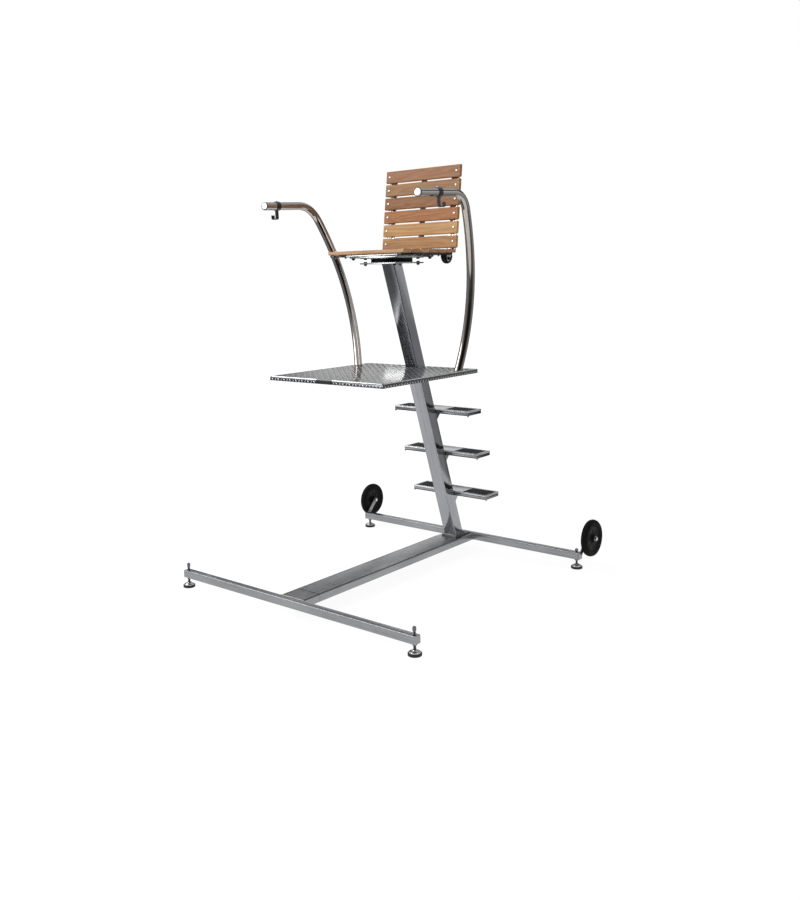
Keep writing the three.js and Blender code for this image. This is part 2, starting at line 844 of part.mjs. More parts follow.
const ballHeight = lowerRaceBottom + raceHeight + raceGap / 2;
const cage = turned(arc(ballCircleRadius, 0, cageRadius, 0, 2 * Math.PI, 4), round);
cage.translate(0, seatAxisY, ballHeight);
const balls = Array.from({ length: ballCount }, (_, i) => {
  const angle = (2 * Math.PI * i) / ballCount;
  const ball = new THREE.SphereGeometry(ballRadius, 8, 6);
  ball.translate(
    ballCircleRadius * Math.cos(angle),
    seatAxisY + ballCircleRadius * Math.sin(angle),
    ballHeight,
  );
  return solid(ball);
});
addPart('swivel_ball_cage', surface(joined([solid(cage), ...balls])), brightFastener);
addPart('swivel_upper_race', swivelRace(upperRaceBottom, -raceGap / 2), blackPlastic);

const upperFlange = squarePlate(
  racePlateSide,
  upperFlangeBottom,
  mountPlateBottom,
  raceBoltPlaces,
  raceBoltRadius,
);
addPart('swivel_upper_flange', surface(upperFlange), darkSteel);

// Seat mounting plate, drilled for the swivel and, at its corners, for the cross bars above
const mountBoltReach = mountPlateSide / 2 - mountBoltInset;
const mountPlaces = mirrored(mountBoltReach).flatMap(
  (x) => mirrored(mountBoltReach).map((y) => [x, seatAxisY + y]),
);
const mountPlate = squarePlate(
  mountPlateSide,
  mountPlateBottom,
  seatBarBottom,
  [...raceBoltPlaces, ...mountPlaces],
  mountBoltRadius,
);
addPart('seat_mounting_plate', surface(mountPlate), brushedSteel);

// Seat frame: two side bars under the slat ends, welded to three cross bars
const seatRearY = seatAxisY + seatRearOverhang;
const seatFrontY = seatRearY - seatDepth;
const sideBarMiddle = seatWidth / 2 - slatBoltInset;
const sideBarInner = sideBarMiddle - seatSideBarWidth / 2;
const sideBarOuter = sideBarMiddle + seatSideBarWidth / 2;
const seatSlatPitch = (seatDepth + seatSlatGap) / seatSlatCount;
const seatSlatWidth = seatSlatPitch - seatSlatGap;
const slatMiddles = Array.from(
  { length: seatSlatCount },
  (_, i) => seatFrontY + seatSlatWidth / 2 + i * seatSlatPitch,
);
const slatBoltHole = (x, y) => bar(
  slatBoltRadius + holeClearance,
  slatTop - seatBarBottom + 2 * cutOverrun,
  [x, y, seatBarBottom - cutOverrun],
);
function seatSideBar(side) {
  const low = Math.min(side * sideBarInner, side * sideBarOuter);
  const whole = block([low, seatFrontY, seatBarBottom], [low + seatSideBarWidth, seatRearY, slatBottom]);
  return slatMiddles.reduce(
    (rest, y) => rest.subtract(slatBoltHole(side * sideBarMiddle, y)),
    whole,
  );
}

const rearCrossBarY = seatRearY - slatBoltInset;
const crossBars = [seatAxisY - mountBoltReach, seatAxisY + mountBoltReach, rearCrossBarY].map((y, i) => {
  const whole = block(
    [-sideBarInner, y - seatCrossBarWidth / 2, seatBarBottom],
    [sideBarInner, y + seatCrossBarWidth / 2, slatBottom],
  );
  if (i === 2) return whole;
  return mirrored(mountBoltReach).reduce((rest, x) => rest.subtract(bar(
    mountBoltRadius + holeClearance,
    seatBarHeight + 2 * cutOverrun,
    [x, y, seatBarBottom - cutOverrun],
  )), whole);
});
addPart('seat_frame', surface(joined([seatSideBar(-1), seatSideBar(1), ...crossBars])), darkSteel);

// Wooden slats: boards with rounded long edges, drilled for their bolts
function roundedBoard(width, thickness, length) {
  const half = width / 2;
  const shape = new THREE.Shape();
  shape.moveTo(-half + slatRound, 0);
  shape.lineTo(half - slatRound, 0);
  shape.absarc(half - slatRound, slatRound, slatRound, -Math.PI / 2, 0);
  shape.absarc(half - slatRound, thickness - slatRound, slatRound, 0, Math.PI / 2);
  shape.absarc(-half + slatRound, thickness - slatRound, slatRound, Math.PI / 2, Math.PI);
  shape.absarc(-half + slatRound, slatRound, slatRound, Math.PI, (Math.PI * 3) / 2);
  const board = new THREE.ExtrudeGeometry(shape, { depth: length, bevelEnabled: false, curveSegments: 2 });
  board.translate(0, 0, -length / 2);
  return board;
}
const toSeat = new THREE.Matrix4().makeBasis(
  new THREE.Vector3(0, 1, 0),
  new THREE.Vector3(0, 0, 1),
  new THREE.Vector3(1, 0, 0),
);
slatMiddles.forEach((y, i) => {
  const board = roundedBoard(seatSlatWidth, slatThickness, seatWidth).applyMatrix4(toSeat);
  board.translate(0, y, slatBottom);
  const drilled = mirrored(sideBarMiddle).reduce(
    (rest, x) => rest.subtract(slatBoltHole(x, y)),
    solid(board),
  );
  addPart(`seat_slat_${i + 1}`, surface(drilled), seatWood);
});

// Hinge housings: half-round cheeks under the rear cross bar that carry the pivots
const hingeY = seatAxisY + hingeBack;
const hingeZ = seatBarBottom - hingeDrop;
const housingOuter = hingeHousingInner + hingeHousingThickness;
function hingeHousing(side) {
  const low = Math.min(side * hingeHousingInner, side * housingOuter);
  const outline = arc(hingeY, seatBarBottom, hingeHousingRadius, Math.PI, 2 * Math.PI, coarse);
  const holeStart = [low - cutOverrun, hingeY, hingeZ];
  const hole = bar(pivotRadius + contactGap, hingeHousingThickness + 2 * cutOverrun, holeStart, 'x');
  return solid(plateAcross(outline, low, low + hingeHousingThickness)).subtract(hole);
}
addPart('hinge_housing_left', surface(hingeHousing(-1)), blackPlastic);
addPart('hinge_housing_right', surface(hingeHousing(1)), blackPlastic);

const earInner = housingOuter + hingeGap;
const earOuter = earInner + earThickness;
function pivotBolt(side) {
  const headFrom = hingeHousingInner - pivotHexHeight;
  const nutFrom = earOuter + hingeGap;
  const nutTo = nutFrom + pivotHexHeight;
  const place = (fromX, toX) => [Math.min(side * fromX, side * toX), hingeY, hingeZ];
  return joined([
    bar(pivotRadius, nutTo - headFrom, place(headFrom, nutTo), 'x'),
    bar(pivotHexRadius, pivotHexHeight, place(headFrom, hingeHousingInner), 'x', 6),
    bar(pivotHexRadius, pivotHexHeight, place(nutFrom, nutTo), 'x', 6),
  ]);
}
addPart('backrest_pivot_left', surface(pivotBolt(-1)), brightFastener);
addPart('backrest_pivot_right', surface(pivotBolt(1)), brightFastener);

// Backrest: its group turns about the pivots and leans back. Local y = 0 is the wood's face.
const backrest = new THREE.Group();
backrest.position.set(0, hingeY, hingeZ);
backrest.rotation.x = -backrestLean;
chair.add(backrest);

const backrestSlatWidth = backrestSlatPitch - backrestSlatGap;
const backrestHeight = backrestSlatCount * backrestSlatPitch - backrestSlatGap;
const barFrontY = slatThickness;
const barRearY = barFrontY + backrestBarThickness;
const barTopZ = backrestClear + backrestHeight - backrestBarTopInset;
const backSlatMiddles = Array.from(
  { length: backrestSlatCount },
  (_, i) => backrestClear + backrestSlatWidth / 2 + i * backrestSlatPitch,
);
const backScrewX = backrestWidth / 2 - backrestScrewInset;

const backHole = (x, z) => {
  const length = barRearY + 2 * cutOverrun;
  const geometry = new THREE.CylinderGeometry(
    slatBoltRadius + holeClearance,
    slatBoltRadius + holeClearance,
    length,
    coarse,
  );
  geometry.translate(x, length / 2 - cutOverrun, z);
  return solid(geometry);
};

function backrestBar(side) {
  const middle = side * backrestBarOffset;
  const half = backrestBarWidth / 2;
  const flat = block(
    [middle - half, barFrontY + contactGap, backrestBarRoot],
    [middle + half, barRearY, barTopZ],
  );
  const low = Math.min(side * earInner, side * earOuter);
  const earOutline = [
    ...arc(0, 0, earRadius, Math.PI, 2 * Math.PI, coarse),
    [barRearY - backrestBarThickness / 2, backrestBarRoot],
    [barRearY - backrestBarThickness / 2, earShoulderTop],
    [earShoulderFront, earShoulderTop],
  ];
  const ear = solid(plateAcross(earOutline, low, low + earThickness));
  const holeStart = [low - cutOverrun, 0, 0];
  const hole = bar(pivotRadius + contactGap, earThickness + 2 * cutOverrun, holeStart, 'x');
  const whole = joined([flat, ear]).subtract(hole);
  return surface(backSlatMiddles.reduce(
    (rest, z) => rest.subtract(backHole(side * backScrewX, z)),
    whole,
  ));
}
addPart('backrest_bar_left', backrestBar(-1), polishedSteel, backrest);
addPart('backrest_bar_right', backrestBar(1), polishedSteel, backrest);

const batten = block(
  [-battenWidth / 2, barFrontY + contactGap, backrestClear],
  [battenWidth / 2, barFrontY + battenThickness, barTopZ],
);
addPart('backrest_batten', surface(batten), battenWood, backrest);

const toBackrest = new THREE.Matrix4().makeBasis(
  new THREE.Vector3(0, 0, -1),
  new THREE.Vector3(0, 1, 0),
  new THREE.Vector3(1, 0, 0),
);
backSlatMiddles.forEach((z, i) => {
  const board = roundedBoard(backrestSlatWidth, slatThickness, backrestWidth).applyMatrix4(toBackrest);
  board.translate(0, 0, z);
  const drilled = mirrored(backScrewX).reduce(
    (rest, x) => rest.subtract(backHole(x, z)),
    solid(board),
  );
  addPart(`backrest_slat_${i + 1}`, surface(drilled), seatWood, backrest);
});

export default chair;
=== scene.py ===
"""Looks of a mobile lifeguard chair: brushed and polished stainless steel, a tread-plate platform,
rubber feet and wheels, and a turning seat of oiled hardwood slats.

Every length is in metres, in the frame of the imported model: +Z up, the sitter faces -Y."""

import math

import bmesh
import bpy
import numpy as np
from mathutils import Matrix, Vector


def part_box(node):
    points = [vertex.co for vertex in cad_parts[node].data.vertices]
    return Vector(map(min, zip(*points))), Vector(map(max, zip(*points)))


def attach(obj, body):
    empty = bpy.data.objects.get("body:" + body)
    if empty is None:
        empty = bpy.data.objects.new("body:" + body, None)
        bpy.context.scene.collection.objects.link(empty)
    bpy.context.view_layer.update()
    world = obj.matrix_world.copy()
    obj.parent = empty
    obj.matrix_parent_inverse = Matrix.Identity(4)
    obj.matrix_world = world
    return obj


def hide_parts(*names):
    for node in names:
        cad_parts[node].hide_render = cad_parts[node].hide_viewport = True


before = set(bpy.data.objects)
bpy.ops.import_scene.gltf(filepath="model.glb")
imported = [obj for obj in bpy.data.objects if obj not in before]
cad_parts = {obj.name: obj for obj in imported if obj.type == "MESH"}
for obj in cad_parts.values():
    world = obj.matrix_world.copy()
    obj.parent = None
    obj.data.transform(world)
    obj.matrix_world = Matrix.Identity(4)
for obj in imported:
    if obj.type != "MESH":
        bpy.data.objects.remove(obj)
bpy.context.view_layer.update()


# Crossbars
# Two square stainless tubes, front and rear, laid on the levelling feet. The front one has
# plates welded into its ends, and the wheel brackets close the rear one. Brushed lengthwise.

def rounded_outline(width, height, radius, chords=5):
    """Outline of a rounded rectangle, anticlockwise, one row per point. Each corner is a quarter
    circle of a few chords about its own centre, and the four quarters follow one another."""
    quarter = np.linspace(0, np.pi / 2, chords + 1)
    angles = np.concatenate([quarter + turn * np.pi / 2 for turn in range(4)])
    signs = np.repeat([[1, 1], [-1, 1], [-1, -1], [1, -1]], chords + 1, axis=0)
    centres = signs * [width / 2 - radius, height / 2 - radius]
    return centres + radius * np.stack([np.cos(angles), np.sin(angles)], axis=1)


def skin(rings, loop=False):
    """A closed shape as (points, quads) from rings of points. Each ring joins the next one by quads.
    A loop joins the last ring to the first, and otherwise each end is drawn in to its middle."""
    rings = np.asarray(rings, float)
    if not loop:
        first = np.repeat(rings[:1].mean(axis=1, keepdims=True), rings.shape[1], axis=1)
        last = np.repeat(rings[-1:].mean(axis=1, keepdims=True), rings.shape[1], axis=1)
        rings = np.concatenate([first, rings, last])
    index = np.arange(rings.shape[0] * rings.shape[1]).reshape(rings.shape[:2])
    ahead = np.roll(index, -1, axis=0)
    near, far = (index, ahead) if loop else (index[:-1], ahead[:-1])
    quads = np.stack([near, np.roll(near, -1, axis=1), np.roll(far, -1, axis=1), far], axis=-1)
    return rings.reshape(-1, 3), quads.reshape(-1, 4)


def rail_of(outline, start, end, side, up, ease=0.0):
    """A straight length of one outline from start to end. Ring k is the place on the line plus the
    outline along side and up, and the first and last rings are drawn in by the ease."""
    start, end, side, up = (np.array(v, float) for v in (start, end, side, up))
    length = np.linalg.norm(end - start)
    if ease:
        rim = np.sign(outline) * (np.abs(outline) > np.abs(outline).max(axis=0) - ease * 3)
        travel = np.array([0, ease, length - ease, length]) / length
        shrink = np.array([1, 0, 0, 1])[:, None, None] * ease * rim
    else:
        travel = np.array([0, 1.0])
        shrink = np.zeros((2, 1, 2))
    flat = outline[None] - shrink
    places = start + travel[:, None] * (end - start)
    return skin(places[:, None] + flat[..., :1] * side + flat[..., 1:] * up)


def together(*shapes):
    """Several shapes as one (points, quads), with each one's quads counted on from the last."""
    counts = np.cumsum([0] + [len(points) for points, quads in shapes])
    points = np.concatenate([points for points, quads in shapes])
    quads = np.concatenate([quads + first for (_, quads), first in zip(shapes, counts)])
    return points, quads


def at_places(shape, places, turns=None):
    """Copies of a shape, one for each place, turned first by its own 3 by 3 matrix if there is one."""
    points, quads = shape
    places = np.asarray(places, float)
    turns = np.broadcast_to(np.eye(3), (len(places), 3, 3)) if turns is None else np.asarray(turns)
    copies = np.einsum("kij,nj->kni", turns, points) + places[:, None]
    counted = quads[None] + (np.arange(len(places)) * len(points))[:, None, None]
    return copies.reshape(-1, 3), counted.reshape(-1, 4)


def piece(name, shape, body, material, replaces=(), sharp=32):
    """The shape as an object at the origin. Its doubled points are merged, its faces point outwards,
    and edges steeper than the sharp angle stay crisp under smooth shading."""
    points, quads = shape
    mesh = bpy.data.meshes.new(name)
    mesh.from_pydata(points.tolist(), [], quads.tolist())
    work = bmesh.new()
    work.from_mesh(mesh)
    bmesh.ops.remove_doubles(work, verts=work.verts, dist=2e-6)
    bmesh.ops.recalc_face_normals(work, faces=work.faces)
    work.to_mesh(mesh)
    work.free()
    mesh.shade_smooth()
    mesh.set_sharp_from_angle(angle=math.radians(sharp))
    place_piece(bpy.data.objects.new(name, mesh), body, material, replaces)


def place_piece(obj, body, material, replaces=()):
    """Links the object, gives it its material, parents it to the body that it rides on, and hides the parts
    that it replaces.
    """
    bpy.context.scene.collection.objects.link(obj)
    obj.data.materials.append(material)
    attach(obj, body)
    if replaces:
        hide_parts(*replaces)


def colour(code):
    """A colour written as hexadecimal sRGB, as the linear numbers that a shader takes."""
    parts = np.array([int(code[i:i + 2], 16) for i in (1, 3, 5)]) / 255
    linear = np.where(parts <= 0.04045, parts / 12.92, ((parts + 0.055) / 1.055) ** 2.4)
    return (*linear.tolist(), 1.0)


def wire(tree, kind, inputs=None, **settings):
    """Adds a node, sets its properties, and links or fills the inputs that are given."""
    node = tree.nodes.new(kind)
    for key, value in settings.items():
        setattr(node, key, value)
    for key, value in (inputs or {}).items():
        if isinstance(value, bpy.types.NodeSocket):
            tree.links.new(value, node.inputs[key])
        else:
            node.inputs[key].default_value = value
    return node


def mapped(tree, place, **changes):
    """The place after a Mapping node's own Location, Rotation and Scale."""
    return wire(tree, "ShaderNodeMapping", {"Vector": place, **changes}).outputs[0]


def noise(tree, place, scale, detail, roughness=0.5):
    """A cloudy value between 0 and 1."""
    values = {"Vector": place, "Scale": scale, "Detail": detail, "Roughness": roughness}
    return wire(tree, "ShaderNodeTexNoise", values).outputs[0]


def number(tree, operation, *values):
    """One step of arithmetic on the values."""
    return wire(tree, "ShaderNodeMath", dict(enumerate(values)), operation=operation).outputs[0]


def spread(tree, value, low, high, to_low=0.0, to_high=1.0, steps="LINEAR"):
    """The value's share of the way from low to high, laid out from to_low to to_high."""
    ends = {"Value": value, "From Min": low, "From Max": high, "To Min": to_low, "To Max": to_high}
    return wire(tree, "ShaderNodeMapRange", ends, interpolation_type=steps).outputs[0]


def blend(tree, share, first, second):
    """The first colour where the share is 0 and the second where it is 1."""
    colours = {"Factor": share, "A": first, "B": second}
    return wire(tree, "ShaderNodeMix", colours, data_type="RGBA").outputs["Result"]


def effect(name, **takes):
    """An empty node group and its inputs. A number, three numbers or four numbers as an input's
    first value make it a number, a place or a colour."""
    tree = bpy.data.node_groups.new(name, "ShaderNodeTree")
    for key, value in takes.items():
        kind = "Float" if isinstance(value, float) else "Vector" if len(value) == 3 else "Color"
        label = key.replace("_", " ")
        socket = tree.interface.new_socket(label, in_out="INPUT", socket_type="NodeSocket" + kind)
        socket.default_value = value
    return tree, tree.nodes.new("NodeGroupInput").outputs


def give(tree, **results):
    """Puts out a group's results. The colours are its Colour or Tone, and the others are numbers."""
    for key in results:
        kind = "Color" if key in ("Colour", "Tone") else "Float"
        tree.interface.new_socket(key, in_out="OUTPUT", socket_type="NodeSocket" + kind)
    given = tree.nodes.new("NodeGroupOutput")
    for key, socket in results.items():
        tree.links.new(socket, given.inputs[key])


# Brushed steel effect: hair lines drawn out along the piece, with slow clouds from handling
ORIGIN = (0, 0, 0)
brushing, taken = effect(
    "Brushed steel", Position=ORIGIN, Turn=ORIGIN, Stretch=(1, 1, 1),
    Light=(0.6, 0.6, 0.6, 1), Dark=(0.4, 0.4, 0.4, 1), Smooth=0.25, Rough=0.45,
)
turned_place = mapped(brushing, taken["Position"], Rotation=taken["Turn"])
drawn_place = mapped(brushing, turned_place, Scale=taken["Stretch"])
hair = noise(brushing, drawn_place, 1.0, 5.0, 0.65)
cloud = noise(brushing, taken["Position"], 4.0, 4.0, 0.55)
smear = noise(brushing, drawn_place, 0.12, 3.0)
share = number(brushing, "MULTIPLY", hair, 0.5)
share = number(brushing, "MULTIPLY_ADD", cloud, 0.3, share)
share = number(brushing, "MULTIPLY_ADD", smear, 0.2, share)
give(
    brushing,
    Colour=blend(brushing, spread(brushing, share, 0.36, 0.64), taken["Dark"], taken["Light"]),
    Roughness=spread(brushing, share, 0.36, 0.64, taken["Smooth"], taken["Rough"]),
    Height=hair,
)


def surface(name, group, metallic=0.0, relief=0.2, depth=0.0004, **values):
    """A Principled material whose colour, roughness and relief come from one effect group. A value
    goes to the group's input of that name, or else to the shader's, and a code is a colour."""
    material = bpy.data.materials.new(name)
    material.use_nodes = True
    tree = material.node_tree
    principled = tree.nodes["Principled BSDF"]
    principled.inputs["Metallic"].default_value = metallic
    look = wire(tree, "ShaderNodeGroup", node_tree=group)
    tree.links.new(wire(tree, "ShaderNodeTexCoord").outputs["Object"], look.inputs["Position"])
    for key, value in values.items():
        label = key.replace("_", " ")
        owner = look if label in look.inputs else principled
        owner.inputs[label].default_value = colour(value) if isinstance(value, str) else value
    bump = wire(tree, "ShaderNodeBump", {
        "Height": look.outputs["Height"], "Strength": relief, "Distance": depth,
    })
    tree.links.new(look.outputs["Colour"], principled.inputs["Base Color"])
    tree.links.new(look.outputs["Roughness"], principled.inputs["Roughness"])
    tree.links.new(bump.outputs["Normal"], principled.inputs["Normal"])
    return material


def steel(name, light, dark, smooth, rough, stretch, **more):
    """Metal with the brushed steel effect. A single stretch draws the hair lines out alike all round."""
    stretch = stretch if isinstance(stretch, tuple) else (stretch,) * 3
    return surface(
        name, brushing, 1.0, Light=light, Dark=dark, Smooth=smooth, Rough=rough, Stretch=stretch, **more,
    )


BRUSH_FINE = 900.0
BRUSH_LONG = 9.0
steel_along_x = steel(
    "Steel brushed across", "#a3a4a6", "#7c7d80", 0.2, 0.36, (BRUSH_LONG, BRUSH_FINE, BRUSH_FINE),
    relief=0.08,
)
steel_along_y = steel(
    "Steel brushed front to back", "#a3a4a6", "#7c7d80", 0.2, 0.36, (BRUSH_FINE, BRUSH_LONG, BRUSH_FINE),
    relief=0.08,
)

BAR_CORNER = 0.0030
EDGE_EASE = 0.0012
for word in ("front", "rear"):
    low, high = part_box(f"{word}_crossbar")
    middle = (low + high) / 2
    bar_outline = rounded_outline(high.y - low.y, high.z - low.z, BAR_CORNER)
    bar_ends = (low.x, middle.y, middle.z), (high.x, middle.y, middle.z)
    bar = rail_of(bar_outline, *bar_ends, (0, 1, 0), (0, 0, 1), EDGE_EASE)
    piece(f"{word}_crossbar_tube", bar, "frame", steel_along_x, [f"{word}_crossbar"])


# Spine
# A flat stainless tube between the crossbars, in two lengths that meet over a hidden sleeve so that
# the base comes apart. Brushed front to back and welded to both crossbars. Thin dark strips on top are
# painted shadow lines along its edges and across the joint.

SPINE_CORNER = 0.005
for node, name in (("base_spine", "spine_tube"), ("spine_front_stub", "spine_front_length")):
    low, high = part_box(node)
    middle = (low + high) / 2
    tube_outline = rounded_outline(high.x - low.x, high.z - low.z, SPINE_CORNER)
    flat_tube = rail_of(tube_outline, (0, low.y, middle.z), (0, high.y, middle.z), (1, 0, 0), (0, 0, 1))
    piece(name, flat_tube, "frame", steel_along_y, [node])

RIPPLE_TURN = 2.1
OFF_EVERY_PATH = (0.31, 0.22, 0.925)


def at_length_one(rows):
    """Each row of three numbers divided by its own length."""
    return rows / np.linalg.norm(rows, axis=1, keepdims=True)


def circles(aside, upward, sides):
    """One circle of radius 1 for each ring: cosine of the turn aside plus its sine upward."""
    angles = np.linspace(0, 2 * np.pi, sides, endpoint=False)
    return np.cos(angles)[:, None] * aside[:, None] + np.sin(angles)[:, None] * upward[:, None]


def bead(path, radius, sides=10, swell=0.14):
    """A weld bead: a round section carried along a path of points and swollen by a fine ripple.
    Ring k is the path's point plus the circle across the path's own direction there."""
    path = np.asarray(path, float)
    along = at_length_one(np.gradient(path, axis=0))
    aside = at_length_one(np.cross(along, OFF_EVERY_PATH))
    ripple = radius * (1 + swell * np.sin(np.arange(len(path)) * RIPPLE_TURN))[:, None, None]
    return skin(path[:, None] + ripple * circles(aside, np.cross(aside, along), sides))


def straight_bead(start, end, radius=0.0022, spacing=0.0018):
    """A bead on the straight line between two points, with a ring at every step of the spacing."""
    start, end = np.array(start, float), np.array(end, float)
    count = int(np.linalg.norm(end - start) / spacing) + 2
    return bead(start + np.linspace(0, 1, count)[:, None] * (end - start), radius)


def end_welds(low, high, y):
    """Beads round a flat tube's end at y: along its top edge and down its two upright edges."""
    return [
        straight_bead((low.x, y, high.z), (high.x, y, high.z)),
        straight_bead((high.x, y, low.z), (high.x, y, high.z)),
        straight_bead((low.x, y, low.z), (low.x, y, high.z)),
    ]


weld_steel = steel("Weld bead", "#a6a39c", "#77736c", 0.3, 0.5, 300)
stub_low, stub_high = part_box("spine_front_stub")
spine_low, spine_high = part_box("base_spine")
spine_welds = together(
    *end_welds(stub_low, stub_high, stub_low.y),
    *end_welds(spine_low, spine_high, spine_high.y),
)
piece("spine_welds", spine_welds, "frame", weld_steel)

# Plain effect for rubber, plastic and dull steel: a fine grain, with dust that lies in slow patches
grain, taken = effect(
    "Grain and dust", Position=ORIGIN, Colour=(0.02, 0.02, 0.02, 1), Dust=(0.2, 0.19, 0.18, 1),
    Dust_share=0.2, Grain_scale=900.0, Smooth=0.45, Rough=0.8,
)
patch = noise(grain, taken["Position"], 22.0, 6.0, 0.7)
dusty = number(grain, "MULTIPLY", spread(grain, patch, 0.45, 0.75), taken["Dust share"])
give(
    grain,
    Colour=blend(grain, dusty, taken["Colour"], taken["Dust"]),
    Roughness=spread(grain, patch, 0.3, 0.7, taken["Smooth"], taken["Rough"]),
    Height=noise(grain, taken["Position"], taken["Grain scale"], 3.0),
)
# Painted shade: a near-black material for thin strips that stand in for the shadow in seams and grooves
shadow_gap = surface(
    "Painted shadow line", grain, Colour="#070707", Dust_share=0.05, Smooth=0.6, Rough=0.9, Specular_IOR_Level=0.1,
)
SEAM_HALF = 0.0021
SEAM_PROUD = 0.0002
SEAM_INSET = 0.0052
SEAM_END = 0.006
SEAM_FROM_FRONT = 0.002
SEAM_FROM_REAR = 0.16
shadow_line_outline = rounded_outline(2 * SEAM_HALF, 2 * SEAM_HALF, 0.0004, 2)
seam_z = spine_high.z - SEAM_HALF + SEAM_PROUD
seam_front, seam_rear = stub_low.y + SEAM_FROM_FRONT, spine_high.y - SEAM_FROM_REAR
joint_y = (stub_high.y + spine_low.y) / 2
joint_ends = (spine_low.x + SEAM_END, joint_y, seam_z), (spine_high.x - SEAM_END, joint_y, seam_z)
# Dark strips along both top edges and across the joint: painted shadow lines
spine_shadow_lines = together(*[
    rail_of(shadow_line_outline, (x, seam_front, seam_z), (x, seam_rear, seam_z), (1, 0, 0), (0, 0, 1))
    for x in (spine_low.x + SEAM_INSET, spine_high.x - SEAM_INSET)
], rail_of(shadow_line_outline, *joint_ends, (0, 1, 0), (0, 0, 1)))
piece("spine_shadow_lines", spine_shadow_lines, "frame", shadow_gap)


# Levelling feet
# A round pad with a rubber tread and a pressed steel dish, on a threaded stud that passes through
# the crossbar. A hex on the stud's top turns it, and a lock nut holds it under the bar.

def turned(profile, sides=48, loop=False):
    """A turned shape about the z axis from (radius, height) pairs. Ring k is the circle of the k-th
    radius at the k-th height."""
    radius, height = np.array(profile, float).T
    angles = np.linspace(0, 2 * np.pi, sides, endpoint=False)
    circle = np.stack([np.cos(angles), np.sin(angles)], axis=1)
    flat = radius[:, None, None] * circle
    level = np.broadcast_to(height[:, None, None], (*flat.shape[:2], 1))
    return skin(np.concatenate([flat, level], axis=2), loop)


def hexagon(flats, height, chamfer=0.0012, bore=0.0):
    """A hex head or nut standing on z = 0. Each ring's radius is half the flats over the cosine of
    the angle from the nearest flat's middle, and a cone trims the top corners. With a bore, the
    wall closes on itself through the hole."""
    angles = np.linspace(0, 2 * np.pi, 48, endpoint=False)
    from_flat = (angles + np.pi / 6) % (np.pi / 3) - np.pi / 6
    corner = flats / 2 / np.cos(from_flat)
    inner = np.full_like(corner, flats / 2 * 0.95)
    trimmed = np.minimum(corner, flats / 2 * 1.03)
    rows = [(inner, 0), (corner, chamfer / 3), (corner, height - chamfer)]
    rows += [(trimmed, height - chamfer / 3), (inner, height)]
    if bore:
        hole = np.full_like(corner, bore)
        rows += [(hole, height), (hole, 0)]
    circle = np.stack([np.cos(angles), np.sin(angles)], axis=1)
    return skin([
        np.column_stack([circle * radius[:, None], np.full(len(angles), level)]) for radius, level in rows
    ], loop=bool(bore))


def threaded(radius, low, high, pitch=0.00175, sides=24):
    """A threaded rod: its radius falls by the thread's depth halfway between the crests."""
    count = int((high - low) / pitch)
    heights = np.linspace(low, high, 2 * count + 1)
    radii = np.where(np.arange(len(heights)) % 2 == 0, radius, radius - 0.6 * pitch)
    return turned(np.column_stack([radii, heights]), sides)


foot_rubber = surface(
    "Foot rubber", grain, relief=0.3, Colour="#0d0d0d", Dust_share=0.1, Smooth=0.55, Rough=0.85,
)
dish_steel = surface(
    "Foot dish", grain, 1.0, Colour="#c2c4c6", Dust="#6b6a66", Dust_share=0.35, Smooth=0.08, Rough=0.2,
)
stud_steel = surface(
    "Foot stud", grain, 1.0, Colour="#77787a", Dust="#3b3a38", Dust_share=0.6, Smooth=0.2, Rough=0.4,
)
bright_steel = steel("Bright fastener", "#d2d4d6", "#a9abad", 0.14, 0.3, 500)

PAD_RADIUS = 0.031
PAD_TREAD = 0.0122
PAD_SHOULDER = 0.0185
PAD_TOP = 0.025
STUD_RADIUS = 0.006
STUD_TIP = 0.003
HEX_FLATS = 0.0149
HEX_HEIGHT = {"front": 0.019, "rear": 0.010}
NUT_FLATS = 0.0182
NUT_HEIGHT = 0.009
bar_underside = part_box("front_crossbar")[0].z
pad_tread = turned([
    (PAD_RADIUS - 0.0025, 0), (PAD_RADIUS - 0.0006, 0.0008), (PAD_RADIUS, 0.0022),
    (PAD_RADIUS, PAD_TREAD - 0.0014), (PAD_RADIUS - 0.0008, PAD_TREAD),
    (PAD_RADIUS - 0.0044, PAD_TREAD + 0.0006), (PAD_RADIUS - 0.0052, PAD_TREAD - 0.002),
])
pad_dish = turned([
    (0.021, PAD_TREAD - 0.003), (PAD_RADIUS - 0.0050, PAD_TREAD - 0.003),
    (PAD_RADIUS - 0.0046, PAD_TREAD + 0.001), (PAD_RADIUS - 0.0052, PAD_SHOULDER - 0.0018),
    (PAD_RADIUS - 0.0064, PAD_SHOULDER - 0.0004), (PAD_RADIUS - 0.0082, PAD_SHOULDER + 0.0004),
    (0.0185, PAD_SHOULDER + 0.0012), (0.0160, PAD_SHOULDER + 0.0024), (0.0128, PAD_TOP - 0.0012),
    (0.0118, PAD_TOP), (0.0070, PAD_TOP),
])
stud_top = turned([
    (STUD_RADIUS, 0), (STUD_RADIUS, 0.0012), (STUD_RADIUS * 0.7, 0.0026), (0.001, STUD_TIP),
], 24)
lock_nut = hexagon(NUT_FLATS, NUT_HEIGHT, bore=STUD_RADIUS + 0.0004)
